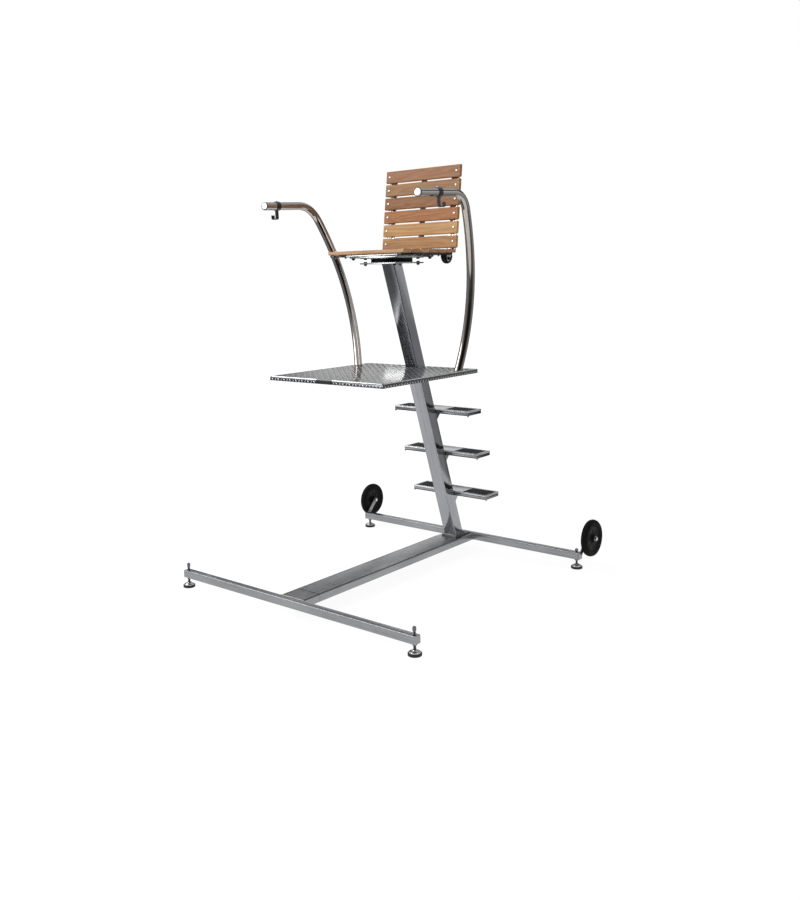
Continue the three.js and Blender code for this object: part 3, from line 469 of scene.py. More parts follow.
for place in ("front_left", "front_right", "rear_left", "rear_right"):
    foot_low, foot_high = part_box(f"levelling_foot_{place}")
    foot_x, foot_y = (foot_low.x + foot_high.x) / 2, (foot_low.y + foot_high.y) / 2
    centre = [[foot_x, foot_y, 0]]
    hex_height = HEX_HEIGHT[place.split("_")[0]]
    hex_low = foot_high.z - STUD_TIP - hex_height
    stud = together(
        threaded(STUD_RADIUS, PAD_TOP - 0.006, hex_low),
        at_places(hexagon(HEX_FLATS, hex_height), [[0, 0, hex_low]]),
        at_places(stud_top, [[0, 0, hex_low + hex_height]]),
    )
    nut = at_places(lock_nut, [[foot_x, foot_y, bar_underside - NUT_HEIGHT]])
    body = f"foot_{place}"
    tread = at_places(pad_tread, centre)
    piece(f"foot_tread_{place}", tread, body, foot_rubber, [f"levelling_foot_{place}"])
    piece(f"foot_dish_{place}", at_places(pad_dish, centre), body, dish_steel)
    piece(f"foot_stud_{place}", at_places(stud, centre), body, stud_steel)
    piece(f"foot_lock_nut_{place}", nut, "frame", stud_steel)


# Tilt wheels
# Solid rubber tyres on black moulded hubs, free on a bolt through a flat steel bracket at each end
# of the rear crossbar. They clear the floor until the chair is tipped back.

def along_x(side):
    """The turn that carries a shape's z axis to the x axis, pointing outwards on that side."""
    return np.array([[0, 0, side], [0, 1, 0], [-side, 0, 0]], float)


def mirrored(profile):
    """A profile's other half below z = 0: the heights change sign and the order is reversed."""
    return [(radius, -height) for radius, height in reversed(profile)]


def rounded_copy(node, name, body, material, width, segments=2):
    """The node's own solid with its edges rounded: a merged copy of its mesh under a Bevel."""
    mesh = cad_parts[node].data.copy()
    mesh.materials.clear()
    work = bmesh.new()
    work.from_mesh(mesh)
    bmesh.ops.remove_doubles(work, verts=work.verts, dist=1e-5)
    bmesh.ops.dissolve_limit(work, angle_limit=math.radians(1), verts=work.verts, edges=work.edges)
    work.to_mesh(mesh)
    work.free()
    mesh.shade_smooth()
    obj = bpy.data.objects.new(name, mesh)
    place_piece(obj, body, material, [node])
    bevel = obj.modifiers.new("Rounded edges", "BEVEL")
    bevel.width = width
    bevel.segments = segments
    bevel.limit_method = "ANGLE"
    bevel.angle_limit = math.radians(30)
    bevel.harden_normals = True
    bevel.use_clamp_overlap = True
    return obj


def cross_bolt(node, side, shank, head, head_reach, sides, washer=None, washer_reach=0.0):
    """A bolt along x through the node's box. The shank, a radius and a setback from both ends, lies
    between a nut at the inner end and a head that starts the head's reach before the outer end."""
    low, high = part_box(node)
    outer, inner = (high.x, low.x) if side > 0 else (low.x, high.x)
    radius, setback = shank
    rod = turned([(radius, 0), (radius, abs(outer - inner) - 2 * setback)], sides)
    row = [(rod, inner + side * setback), (head, outer - side * head_reach)]
    if washer:
        row.append((washer, outer - side * washer_reach))
    row.append((head, inner))
    y, z = (low.y + high.y) / 2, (low.z + high.z) / 2
    return together(*[at_places(shape, [(x, y, z)], [along_x(side)]) for shape, x in row])


tyre_rubber = surface(
    "Tyre rubber", grain, relief=0.35, Colour="#080807", Dust="#32302d", Dust_share=0.1, Smooth=0.5,
    Rough=0.8, Specular_IOR_Level=0.1,
)
black_plastic = surface(
    "Black plastic", grain, relief=0.15, Colour="#0c0c0d", Dust="#353432", Dust_share=0.1, Smooth=0.42,
    Rough=0.6, Specular_IOR_Level=0.15,
)

TYRE_RADIUS = 0.100
TYRE_HALF = 0.019
TYRE_BORE = 0.0623
TYRE_ROUND = 0.013
GROOVE_DEPTH = 0.0016
GROOVE_PLACE = 0.007
GROOVE_HALF = 0.0022
shoulder = np.linspace(-np.pi / 2, np.pi / 2, 15)
crown_height = TYRE_HALF * np.sin(shoulder)
in_groove = np.abs(np.abs(crown_height) - GROOVE_PLACE) < GROOVE_HALF
crown_radius = TYRE_RADIUS - TYRE_ROUND + TYRE_ROUND * np.cos(shoulder) - GROOVE_DEPTH * in_groove
flank = [(TYRE_BORE, -0.013), (TYRE_BORE + 0.002, -0.0155), (TYRE_RADIUS - 0.02, -TYRE_HALF)]
tyre = turned(flank + list(zip(crown_radius, crown_height)) + mirrored(flank), 72, loop=True)

hub_half = [
    (0.0064, -0.022), (0.0185, -0.022), (0.0200, -0.0205), (0.0212, -0.011), (0.0235, -0.0092),
    (0.050, -0.0092), (0.0535, -0.0105), (0.0545, -0.0125), (0.0560, -0.013), (0.0618, -0.013),
]
RIB_INNER = 0.0195
RIB_OUTER = 0.055
rib_outline = rounded_outline(0.0045, 0.0226, 0.0015, 3)
spokes = [np.array([np.cos(turn), np.sin(turn), 0]) for turn in np.arange(8) * np.pi / 4]
hub = together(turned(hub_half + mirrored(hub_half), 72, loop=True), *[
    rail_of(rib_outline, RIB_INNER * spoke, RIB_OUTER * spoke, (-spoke[1], spoke[0], 0), (0, 0, 1))
    for spoke in spokes
])
washer = turned([
    (0.0064, 0), (0.0125, 0), (0.0128, 0.0008), (0.0125, 0.0016), (0.0064, 0.0016),
], 48, loop=True)
axle_head = hexagon(0.019, 0.0074)
AXLE_SHANK = (0.006, 0.002)
AXLE_HEAD_REACH = 0.0075
AXLE_WASHER_REACH = 0.0097
for word, side in (("left", -1), ("right", 1)):
    wheel_low, wheel_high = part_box(f"wheel_tyre_{word}")
    place = [list((wheel_low + wheel_high) / 2)], [along_x(side)]
    body = f"wheel_{word}"
    piece(f"tyre_{word}", at_places(tyre, *place), body, tyre_rubber, [f"wheel_tyre_{word}"])
    middle_part = f"wheel_hub_{word}"
    piece(middle_part, at_places(hub, *place), body, black_plastic, [middle_part])
    bracket = f"wheel_bracket_{word}"
    rounded_copy(bracket, f"{bracket}_edges", "frame", steel_along_y, width=0.0009)
    node = f"wheel_axle_{word}"
    axle = cross_bolt(node, side, AXLE_SHANK, axle_head, AXLE_HEAD_REACH, 32, washer, AXLE_WASHER_REACH)
    piece(f"axle_bolt_{word}", axle, "frame", bright_steel, [node])


# Mast
# One rectangular stainless tube, leaning forward and cut level at both ends. It stands on a foot
# plate that is welded round it and held down by two bolts behind it.

MAST_CORNER = 0.005
MAST_HALF = 0.041
MAST_DEPTH = 0.071
MAST_LEAN = math.radians(18.4)
mast_low, mast_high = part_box("mast_tube")
mast_run = MAST_DEPTH / math.cos(MAST_LEAN)
mast_foot = (0, mast_high.y - mast_run / 2, mast_low.z)
mast_head = (0, mast_low.y + mast_run / 2, mast_high.z)
mast_steel = steel(
    "Mast steel", "#a8a9ad", "#838489", 0.05, 0.15, (BRUSH_FINE, BRUSH_FINE, BRUSH_LONG),
    Turn=(-MAST_LEAN, 0, 0),
)
mast_outline = rounded_outline(mast_high.x - mast_low.x, mast_run, MAST_CORNER, 6)
mast_shape = rail_of(mast_outline, mast_foot, mast_head, (1, 0, 0), (0, 1, 0))
piece("mast", mast_shape, "frame", mast_steel, ["mast_tube"])

dark_steel = steel("Dull steel plate", "#7e8082", "#57595b", 0.26, 0.46, 60)
rounded_copy("mast_foot_plate", "foot_plate_edges", "frame", dark_steel, width=0.0012)


def ring_path(outline, centre, spacing=0.0018):
    """Evenly spaced points along a closed outline at one height, with the first one repeated."""
    closed = np.vstack([outline, outline[:1]])
    travel = np.concatenate([[0], np.cumsum(np.linalg.norm(np.diff(closed, axis=0), axis=1))])
    even = np.linspace(0, travel[-1], int(travel[-1] / spacing))
    flat = np.column_stack([np.interp(even, travel, closed[:, k]) for k in (0, 1)])
    return np.column_stack([flat + np.array(centre[:2]), np.full(len(even), centre[2])])


FOOT_WELD_RADIUS = 0.0028
foot_weld = bead(ring_path(mast_outline, mast_foot), FOOT_WELD_RADIUS)
piece("mast_foot_weld", foot_weld, "frame", weld_steel)

FOOT_BOLT_SIDE = 0.028
FOOT_WASHER = 0.0018
FOOT_BOLT_FLATS = 0.0182
FOOT_BOLT_HEIGHT = 0.0078
plate_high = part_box("mast_foot_plate")[1]
foot_washer = turned([
    (0.0, 0), (0.0118, 0), (0.012, 0.0008), (0.0118, FOOT_WASHER), (0.0, FOOT_WASHER),
], 40)
foot_bolt = hexagon(FOOT_BOLT_FLATS, FOOT_BOLT_HEIGHT)
foot_bolt_y = (mast_high.y + plate_high.y) / 2
foot_bolts = together(*[
    at_places(shape, [[x, foot_bolt_y, plate_high.z + rise] for x in (-FOOT_BOLT_SIDE, FOOT_BOLT_SIDE)])
    for shape, rise in ((foot_washer, 0), (foot_bolt, FOOT_WASHER))
])
piece("foot_plate_bolts", foot_bolts, "frame", bright_steel)


# Steps
# Three folded stainless trays behind the mast, each on two welded gussets. Black grit treads lie in
# beds on either side, and the bare middle is where the mast is.

tread_grit, taken = effect("Grit tread", Position=ORIGIN)
grit_cells = wire(tread_grit, "ShaderNodeTexVoronoi", {"Vector": taken["Position"], "Scale": 520.0})
grit_mask = spread(tread_grit, grit_cells.outputs["Distance"], 0.1, 0.6, 1.0, 0.0)
grit_wear = noise(tread_grit, taken["Position"], 14.0, 4.0)
grit_light = number(tread_grit, "MULTIPLY", grit_mask, grit_wear)
give(
    tread_grit,
    Colour=blend(tread_grit, grit_light, colour("#0a0a0a"), colour("#262524")),
    Roughness=spread(tread_grit, grit_wear, 0.0, 1.0, 0.95, 0.6),
    Height=grit_mask,
)
grit_black = surface("Grit tread", tread_grit, relief=0.4, depth=0.0006, Specular_IOR_Level=0.3)
step_steel = steel(
    "Step steel", "#a9aaad", "#7d7e81", 0.14, 0.28, (BRUSH_LONG, BRUSH_FINE, BRUSH_FINE), relief=0.06,
)
rim_steel = steel("Rolled rim steel", "#d3d4d6", "#a6a7a9", 0.26, 0.4, 60, relief=0.04)
RIM_RADIUS = 0.0046
RIM_SHARE = 0.995
HEM_RADIUS = 0.002
HEM_SHARE = 0.998
RIM_SPACING = 0.004
STEP_CORNER = 0.006
STEP_DEPTH = 0.025
STEP_SEAM_DROP = 0.0125
STEP_SEAM_RADIUS = 0.0018
STEP_WELD_SET = (0.0004, 0.001)
TREAD_INNER = 0.0884
TREAD_RIM = 0.0123
TREAD_THICKNESS = 0.003
TREAD_SUNK = 0.004
TREAD_EASE = 0.0006
for word in ("lower", "middle", "upper"):
    rounded_copy(f"{word}_step", f"{word}_step_edges", "frame", step_steel, width=0.0014)
    low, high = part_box(f"{word}_step")
    rim_outline = rounded_outline(high.x - low.x, high.y - low.y, STEP_CORNER, 5)
    rim_middle = (0, (low.y + high.y) / 2)
    top_path = ring_path(rim_outline * RIM_SHARE, (*rim_middle, high.z - RIM_RADIUS), RIM_SPACING)
    piece(f"{word}_step_rim", bead(top_path, RIM_RADIUS, 12, 0), "frame", rim_steel)
    # The hem bead and the beads along the end lips are near black: painted shadow lines in the fold and the
    # grooves
    hem_middle = (*rim_middle, high.z - STEP_DEPTH + HEM_RADIUS)
    hem_path = ring_path(rim_outline * HEM_SHARE, hem_middle, RIM_SPACING)
    drop_z = high.z - STEP_SEAM_DROP
    end_groove_shadows = [
        straight_bead((x, low.y + STEP_CORNER, drop_z), (x, high.y - STEP_CORNER, drop_z), STEP_SEAM_RADIUS)
        for x in (low.x, high.x)
    ]
    hem_and_end_shadows = together(bead(hem_path, HEM_RADIUS, 8, 0), *end_groove_shadows)
    piece(f"{word}_step_shadow_lines", hem_and_end_shadows, "frame", shadow_gap)
    tread_width = high.x - TREAD_RIM - TREAD_INNER
    tread_outline = rounded_outline(tread_width, high.y - low.y - 2 * TREAD_RIM, 0.003, 4)
    tread_y, tread_z = rim_middle[1], high.z - TREAD_SUNK
    treads = []
    for x in (-TREAD_INNER - tread_width / 2, TREAD_INNER + tread_width / 2):
        faces = (x, tread_y, tread_z), (x, tread_y, tread_z + TREAD_THICKNESS)
        treads.append(rail_of(tread_outline, *faces, (1, 0, 0), (0, 1, 0), TREAD_EASE))
    piece(f"{word}_step_treads", together(*treads), "frame", grit_black)
    weld_y, weld_z = low.y + STEP_WELD_SET[0], high.z - STEP_WELD_SET[1]
    step_weld = straight_bead((-MAST_HALF, weld_y, weld_z), (MAST_HALF, weld_y, weld_z))
    piece(f"{word}_step_weld", step_weld, "frame", weld_steel)


# Platform
# A stainless tread plate with its edges folded down, notched round the mast, on a welded frame of
# box tube. Raised lenses cross one another over the whole top. A rubber buffer guards the front edge.

FOLD_RADIUS = 0.0090
FOLD_CHORDS = 6
OPEN_EDGE_SHARE = 0.08
ON_FACE = 0.0005
tread_steel = steel("Tread plate steel", "#6e6f71", "#4f5052", 0.1, 0.22, 90, relief=0.08)
platform_low, platform_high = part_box("platform_plate")
folded_plate = rounded_copy(
    "platform_plate", "platform_plate_edges", "frame", tread_steel, FOLD_RADIUS, FOLD_CHORDS,
)
plate_points = np.array([point.co for point in folded_plate.data.vertices])
on_side = np.abs(plate_points[:, 0]) > platform_high.x - ON_FACE
on_front = plate_points[:, 1] < platform_low.y + ON_FACE
on_top = plate_points[:, 2] > platform_high.z - ON_FACE
edge_share = folded_plate.data.attributes.new("bevel_weight_edge", "FLOAT", "EDGE")
for edge in folded_plate.data.edges:
    ends = list(edge.vertices)
    folded = on_top[ends].all() and (on_side[ends].all() or on_front[ends].all())
    edge_share.data[edge.index].value = 1.0 if folded else OPEN_EDGE_SHARE
folded_plate.modifiers[0].limit_method = "WEIGHT"
for node in ("platform_front_rail", "platform_beam_left", "platform_beam_right"):
    rounded_copy(node, node + "_edges", "frame", steel_along_y, width=0.0012)

LENS_LENGTH = 0.024
LENS_WIDTH = 0.0075
LENS_HEIGHT = 0.0010
LENS_PITCH = 0.0205
LENS_SUNK = 0.0001
LENS_BASE = 0.0004


def lens(length, width, height, steps=8, arcs=4):
    """A raised lens on z = 0: its half width at share u along it is that of a flat ellipse, and its
    height over share v across it is a cosine arch, fading to nothing at both tips."""
    u = np.linspace(-1, 1, steps + 1)[:, None]
    v = np.linspace(-1, 1, arcs + 1)[None]
    fade = np.sqrt(np.clip(1 - u ** 2, 0, None))
    x = np.broadcast_to(u * length / 2, (steps + 1, arcs + 1))
    y = fade * v * width / 2
    z = fade * np.cos(v * np.pi / 2) * height
    grid = np.stack([x, y, z - LENS_SUNK], axis=-1)
    base = grid[:, ::-1] * [1, 1, 0] - [0, 0, LENS_BASE]
    return skin(np.concatenate([grid, base], axis=1))


# The middle of a handrail's foot, its distance forward from the rear crossbar's middle, and its height
RAIL_FOOT = (0.342, -0.529, 1.106)
BAR_HALF = 0.019
RAIL_CLEARANCE = 0.034
NOTCH_CLEARANCE = LENS_LENGTH * 0.7
rear_bar_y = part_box("rear_crossbar")[0].y + BAR_HALF

columns = np.arange(platform_low.x + LENS_PITCH, platform_high.x - LENS_PITCH / 2, LENS_PITCH)
rows = np.arange(platform_low.y + LENS_PITCH, platform_high.y - LENS_PITCH / 2, LENS_PITCH)
grid_x, grid_y = np.meshgrid(columns, rows, indexing="ij")
parity = np.add.outer(np.arange(len(columns)), np.arange(len(rows))) % 2
mast_middle_y = np.interp(platform_high.z, [mast_foot[2], mast_head[2]], [mast_foot[1], mast_head[1]])
mast_front_y = mast_middle_y - mast_run / 2
in_notch = (np.abs(grid_x) < MAST_HALF + NOTCH_CLEARANCE) & (grid_y > mast_front_y - NOTCH_CLEARANCE)
near_rail = np.hypot(np.abs(grid_x) - RAIL_FOOT[0], grid_y - (rear_bar_y + RAIL_FOOT[1])) < RAIL_CLEARANCE
kept = ~(in_notch | near_rail)
lens_places = np.column_stack([grid_x[kept], grid_y[kept], np.full(kept.sum(), platform_high.z)])
tilt = np.where(parity[kept] == 1, np.pi / 4, -np.pi / 4)
zero, one = np.zeros_like(tilt), np.ones_like(tilt)
lens_turns = np.stack([
    np.stack([np.cos(tilt), -np.sin(tilt), zero], axis=-1),
    np.stack([np.sin(tilt), np.cos(tilt), zero], axis=-1),
    np.stack([zero, zero, one], axis=-1),
], axis=1)
lenses = at_places(lens(LENS_LENGTH, LENS_WIDTH, LENS_HEIGHT), lens_places, lens_turns)
lens_steel = steel("Worn tread lenses", "#7e7f81", "#5f6062", 0.26, 0.4, 90, relief=0.08)
piece("platform_raised_lenses", lenses, "frame", lens_steel, sharp=70)

LIP_DROP = 0.0152
LIP_LENS = (0.0145, 0.0062, 0.0014)
LIP_TILT = math.radians(38)
EDGE_PROUD = 0.0003
EDGE_DEPTH = 0.0008
EDGE_ARC = 8
EDGE_TURN = (0.06, 0.54)
bright_tread = steel("Worn tread edge", "#d6d7d9", "#aeafb1", 0.1, 0.22, 90)
fold_highlight = steel("Painted fold highlight", "#f4f4f5", "#dcdddf", 0.16, 0.28, 90)
buffer_low, buffer_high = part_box("front_edge_buffer")


def folded_runs(z, corner_gap, buffer_gap, rear_gap):
    """The four straight runs of folded edge at one height, as (start, end, outward): the front on
    both sides of the buffer, then the right and the left side."""
    left, right, front, rear = platform_low.x, platform_high.x, platform_low.y, platform_high.y
    return [
        ((left + corner_gap, front, z), (buffer_low.x - buffer_gap, front, z), (0, -1, 0)),
        ((buffer_high.x + buffer_gap, front, z), (right - corner_gap, front, z), (0, -1, 0)),
        ((right, front + corner_gap, z), (right, rear - rear_gap, z), (1, 0, 0)),
        ((left, rear - rear_gap, z), (left, front + corner_gap, z), (-1, 0, 0)),
    ]


def lip_lenses(start, end, outward, number_from):
    """Raised lenses in a row on a folded lip, each leaning the other way from its neighbour."""
    start, end, outward = np.array(start), np.array(end), np.array(outward, float)
    count = int(np.linalg.norm(end - start) / LENS_PITCH)
    along = (end - start) / np.linalg.norm(end - start)
    rise = np.cross(outward, along)
    turns, places = [], []
    for k in range(count):
        lean = LIP_TILT if (k + number_from) % 2 else -LIP_TILT
        long_way = along * math.cos(lean) + rise * math.sin(lean)
        turns.append(np.column_stack([long_way, np.cross(outward, long_way), outward]))
        places.append(start + (end - start) * (k + 0.5) / count)
    return at_places(lens(*LIP_LENS), places, turns)


def edge_strip(start, end, outward):
    """The painted highlight along the top of a folded edge: a bright band, part of a ring of the fold's
    radius.
    """
    start, end, outward = np.array(start), np.array(end), np.array(outward, float)
    middle = np.array([start, end]) - outward * FOLD_RADIUS - [0, 0, FOLD_RADIUS]
    turn = np.linspace(*EDGE_TURN, EDGE_ARC + 1)[:, None] * math.pi / 2
    spokes = outward * np.sin(turn) + np.array([0, 0, 1.0]) * np.cos(turn)
    outer, inner = spokes * (FOLD_RADIUS + EDGE_PROUD), spokes[::-1] * (FOLD_RADIUS - EDGE_DEPTH)
    return skin(middle[:, None] + np.concatenate([outer, inner])[None])


lip_runs = zip(folded_runs(platform_high.z - LIP_DROP, 0.008, 0.004, 0.004), (0, 1, 0, 0))
lip_rows = together(*[lip_lenses(*run, number_from) for run, number_from in lip_runs])
piece("platform_lip_lenses", lip_rows, "frame", bright_tread, sharp=70)
# A near-white band along the top of each fold: a painted highlight
fold_highlights = together(*[edge_strip(*run) for run in folded_runs(platform_high.z, 0.012, 0.002, 0.006)])
piece("platform_fold_highlights", fold_highlights, "frame", fold_highlight)
rounded_copy("front_edge_buffer", "front_buffer_edges", "frame", foot_rubber, width=0.0009)


# Handrails
# One bent and polished stainless tube on each side. It swells outwards as it climbs from the
# platform, and bends forward into a level grip with a bright cap. A weld ring holds its foot.

RAIL_RADIUS = 0.0212
RAIL_SWELL = (0.405, -0.469, 1.405)
RAIL_SHOULDER = (0.452, -0.531, 1.704)
RAIL_CORNER = (0.515, -0.708, 2.003)
RAIL_GRIP_END = (0.507, -1.061, 1.986)
CORNER_CUT = 0.092


def rail_point(point, side):
    """A point of the handrail on that side, carried into the frame from the rear crossbar."""
    return np.array(point) * [side, 1, 1] + [0, rear_bar_y, 0]


def rail_path(side):
    """The tube's middle line from the platform to the grip's end. The upright is a cubic Bezier
    curve from the foot to the corner. A quadratic curve cuts the corner off, and the grip is
    straight. Points are even along each of the three."""
    controls = RAIL_FOOT, RAIL_SWELL, RAIL_SHOULDER, RAIL_CORNER, RAIL_GRIP_END
    foot, swell, bulge, corner, end = (rail_point(point, side) for point in controls)
    t = np.linspace(0, 1, 1201)[:, None]
    upright = (
        (1 - t) ** 3 * foot + 3 * (1 - t) ** 2 * t * swell + 3 * (1 - t) * t ** 2 * bulge + t ** 3 * corner
    )
    travel = np.concatenate([[0], np.cumsum(np.linalg.norm(np.diff(upright, axis=0), axis=1))])
    even = np.linspace(0, travel[-1] - CORNER_CUT, 91)
    climb = np.column_stack([np.interp(even, travel, upright[:, k]) for k in range(3)])
    leave = corner + (end - corner) / np.linalg.norm(end - corner) * CORNER_CUT
    s = np.linspace(0, 1, 37)[1:, None]
    bend = (1 - s) ** 2 * climb[-1] + 2 * (1 - s) * s * corner + s ** 2 * leave
    grip = leave + np.linspace(0, 1, 13)[1:, None] * (end - leave)
    return np.concatenate([climb, bend, grip])


def tube_along(path, radius, sides=48):
    """A round tube carried along a path. Each ring stands square to the path, on the x axis less its
    share along the path and on the direction across both. The first ring is cut level."""
    along = at_length_one(np.gradient(path, axis=0))
    reference = np.array([1.0, 0, 0])
    aside = at_length_one(reference - (along @ reference)[:, None] * along)
    rings = path[:, None] + radius * circles(aside, np.cross(along, aside), sides)
    drop = (path[0, 2] - rings[0, :, 2]) / along[0, 2]
    rings[0] += drop[:, None] * along[0]
    return skin(rings)


# Polished steel effect: mostly clear, with faint wipe marks and a slow wave in the tube
polish, taken = effect(
    "Polished steel", Position=ORIGIN, Light=(0.7, 0.7, 0.7, 1), Dark=(0.6, 0.6, 0.6, 1), Smooth=0.05,
    Rough=0.2,
)
wipe = noise(polish, taken["Position"], 26.0, 7.0, 0.7)
give(
    polish,
    Colour=blend(polish, wipe, taken["Dark"], taken["Light"]),
    Roughness=spread(polish, wipe, 0.35, 0.7, taken["Smooth"], taken["Rough"]),
    Height=noise(polish, taken["Position"], 9.0, 2.0),
)
polished_steel = surface(
    "Polished rail steel", polish, 1.0, relief=0.03, depth=0.002, Light="#c3beb9", Dark="#a49c96",
    Smooth=0.04, Rough=0.1,
)

WELD_REACH = (0.0222, 0.0218)
WELD_LIFT = 0.0006
for word, side in (("left", -1), ("right", 1)):
    path = rail_path(side)
    name = f"handrail_{word}"
    piece(f"{name}_tube", tube_along(path, RAIL_RADIUS), "frame", polished_steel, [name])
    turn = np.linspace(0, 2 * np.pi, 60)
    foot_ring = np.column_stack([
        path[0, 0] + WELD_REACH[0] * np.cos(turn), path[0, 1] + WELD_REACH[1] * np.sin(turn),
        np.full(len(turn), path[0, 2] + WELD_LIFT),
    ])
    piece(f"{name}_weld", bead(foot_ring, 0.0026), "frame", weld_steel)


def grip_frame(side, setback):
    """A place on the grip and its turn: x points outwards, y back along the tube and z up."""
    corner, end = rail_point(RAIL_CORNER, side), rail_point(RAIL_GRIP_END, side)
    back = (corner - end) / np.linalg.norm(corner - end)
    across = np.cross(back, [0, 0, 1.0])
    across /= np.linalg.norm(across)
    return [end + back * setback], [np.column_stack([across, back, np.cross(across, back)])]


def lying(profile, sides=48, loop=True):
    """A turned shape laid down, so that its own axis points back along the grip."""
    lies_back = np.array([[1, 0, 0], [0, 0, -1], [0, 1, 0]], float)
    return at_places(turned(profile, sides, loop), [ORIGIN], [lies_back])


cap_steel = surface(
    "Bright cap", polish, 1.0, relief=0.05, depth=0.001, Light="#e3e4e5", Dark="#c9cacc", Smooth=0.1,
    Rough=0.25,
)
seam_rubber = surface("Cap seal", grain, relief=0.2, Colour="#121212")
cap = lying([
    (0.0188, 0.0), (0.0209, 0.0002), (0.0212, 0.0010), (0.0212, 0.0022), (0.0203, 0.0034),
    (0.0170, 0.0040), (0.0006, 0.0043),
], loop=False)
cap_rim = lying([
    (0.0172, 0.0034), (0.0174, 0.0046), (0.0204, 0.0041), (0.0214, 0.0028), (0.0214, 0.0008),
    (0.0204, 0.0008),
])
seal = lying([(0.0200, -0.0012), (0.02145, -0.0012), (0.02145, 0.0006), (0.0200, 0.0006)])
for word, side in (("left", -1), ("right", 1)):
    place = grip_frame(side, 0)
    node = f"handrail_cap_{word}"
    piece(f"grip_cap_{word}", at_places(cap, *place), "frame", cap_steel, [node])
    piece(f"grip_cap_seal_{word}", at_places(seal, *place), "frame", seam_rubber)
    piece(f"grip_cap_rim_{word}", at_places(cap_rim, *place), "frame", stud_steel)


# Hooks
# A clamp ring round each grip carries a bent J strip that opens outwards, for a whistle cord or a
# rescue tube's strap. A knurled screw on top tightens it.

CLAMP_HALF = 0.013
CLAMP_BORE = 0.0215
CLAMP_OUTER = 0.0247
CLAMP_EASE = 0.0008
STRIP_HALF = 0.012
STRIP_THICK = 0.004
HOOK_START = -0.0225
HOOK_BOTTOM = -0.0712
HOOK_RISE = 0.024
HOOK_REACH = 0.034
HOOK_BEND = 0.007
hook_steel = steel("Hook steel", "#5c5d5f", "#3a3b3d", 0.2, 0.4, (240, 240, 60))
clamp_half = [
    (CLAMP_BORE, -CLAMP_HALF), (CLAMP_OUTER - CLAMP_EASE, -CLAMP_HALF),
    (CLAMP_OUTER, -CLAMP_HALF + CLAMP_EASE),
]
clamp = lying(clamp_half + mirrored(clamp_half), 64)


def hook_strip(side):
    """A flat strip carried down from the clamp, round a bend outwards, and round a second bend up to
    its tip. The path is straight runs joined by quarter circles of the strip's bend radius."""
    low, bend = HOOK_BOTTOM + STRIP_THICK / 2, HOOK_BEND
    near, far = STRIP_THICK / 2, HOOK_REACH - STRIP_THICK / 2
    quarter = np.linspace(0, np.pi / 2, 9)
    first = np.column_stack([near + bend - bend * np.cos(quarter), low + bend - bend * np.sin(quarter)])
    second = np.column_stack([far - bend + bend * np.sin(quarter), low + bend - bend * np.cos(quarter)])
    line = np.vstack([[near, HOOK_START], first, second, [far, HOOK_BOTTOM + HOOK_RISE]])
    path = np.column_stack([line[:, 0] * side, np.zeros(len(line)), line[:, 1]])
    along = at_length_one(np.gradient(path, axis=0))
    across = np.array([0, 1.0, 0])
    upward = np.cross(across, along)
    outline = rounded_outline(2 * STRIP_HALF, STRIP_THICK, 0.0012, 3)
    return skin(path[:, None] + outline[None, :, :1] * across + outline[None, :, 1:] * upward[:, None])


KNURLS = 48
KNURL_RADIUS = 0.0048
KNURL_RISE = 0.05
knurl_angles = np.linspace(0, 2 * np.pi, KNURLS, endpoint=False)
knurl_radius = KNURL_RADIUS * (1 + KNURL_RISE * (np.arange(KNURLS) % 2))
clamp_screw = at_places(skin([
    np.column_stack([
        knurl_radius * share * np.cos(knurl_angles), knurl_radius * share * np.sin(knurl_angles),
        np.full(KNURLS, level),
    ])
    for share, level in ((0.7, 0.0), (1.0, 0.0006), (1.0, 0.0034), (0.8, 0.0042))
]), [[0, 0, CLAMP_OUTER - 0.0003]])
for word, side, setback in (("left", -1, 0.090), ("right", 1, 0.150)):
    place = grip_frame(side, setback)
    hook = at_places(together(clamp, hook_strip(side)), *place)
    piece(f"hook_{word}_strip", hook, "frame", hook_steel, [f"hook_{word}"])
    piece(f"hook_{word}_screw", at_places(clamp_screw, *place), "frame", dish_steel)


# Swivel
# A plate on the mast and a flange hold the lower half of a black ball race, and a second flange and
# the seat's mounting plate sit on the upper half. Bolts at the corners clamp each pair.

plate_steel = steel("Swivel plate steel", "#c9cacc", "#9b9c9e", 0.1, 0.22, 60, relief=0.06)
rounded_copy("mast_top_plate", "mast_plate_edges", "frame", plate_steel, width=0.0008)
rounded_copy("swivel_lower_flange", "lower_flange_edges", "frame", plate_steel, width=0.0006)
rounded_copy("swivel_upper_flange", "upper_flange_edges", "seat", plate_steel, width=0.0006)
rounded_copy(
    "seat_mounting_plate", "seat_mounting_plate_edges", "seat", plate_steel, width=0.0010,
)

RACE_OUTER = 0.110
RACE_INNER = 0.078
for word, body in (("lower", "frame"), ("upper", "seat")):
    low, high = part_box(f"swivel_{word}_race")
    swivel_y = (low.y + high.y) / 2
    race = turned([
        (RACE_INNER, low.z), (RACE_OUTER - 0.0012, low.z), (RACE_OUTER - 0.0003, low.z + 0.0005),
        (RACE_OUTER, low.z + 0.0014), (RACE_OUTER, high.z - 0.0014), (RACE_OUTER - 0.0003, high.z - 0.0005),
        (RACE_OUTER - 0.0012, high.z), (RACE_INNER, high.z),
    ], 96, loop=True)
    shell = at_places(race, [[0, swivel_y, 0]])
    piece(f"swivel_{word}_race_shell", shell, body, black_plastic, [f"swivel_{word}_race"])

FLANGE_REACH = 0.099
MOUNT_REACH = 0.144
NUT_HEIGHT_UNDER_FLANGE = 0.0052
NUT_HEIGHT_UNDER_MOUNT = 0.0066
black_oxide = surface(
    "Black bolts", grain, 0.9, relief=0.1, Colour="#26272a", Dust="#5b5b5c", Dust_share=0.3, Smooth=0.25,
    Rough=0.45,
)
upside_down = np.diag([1.0, -1.0, -1.0])


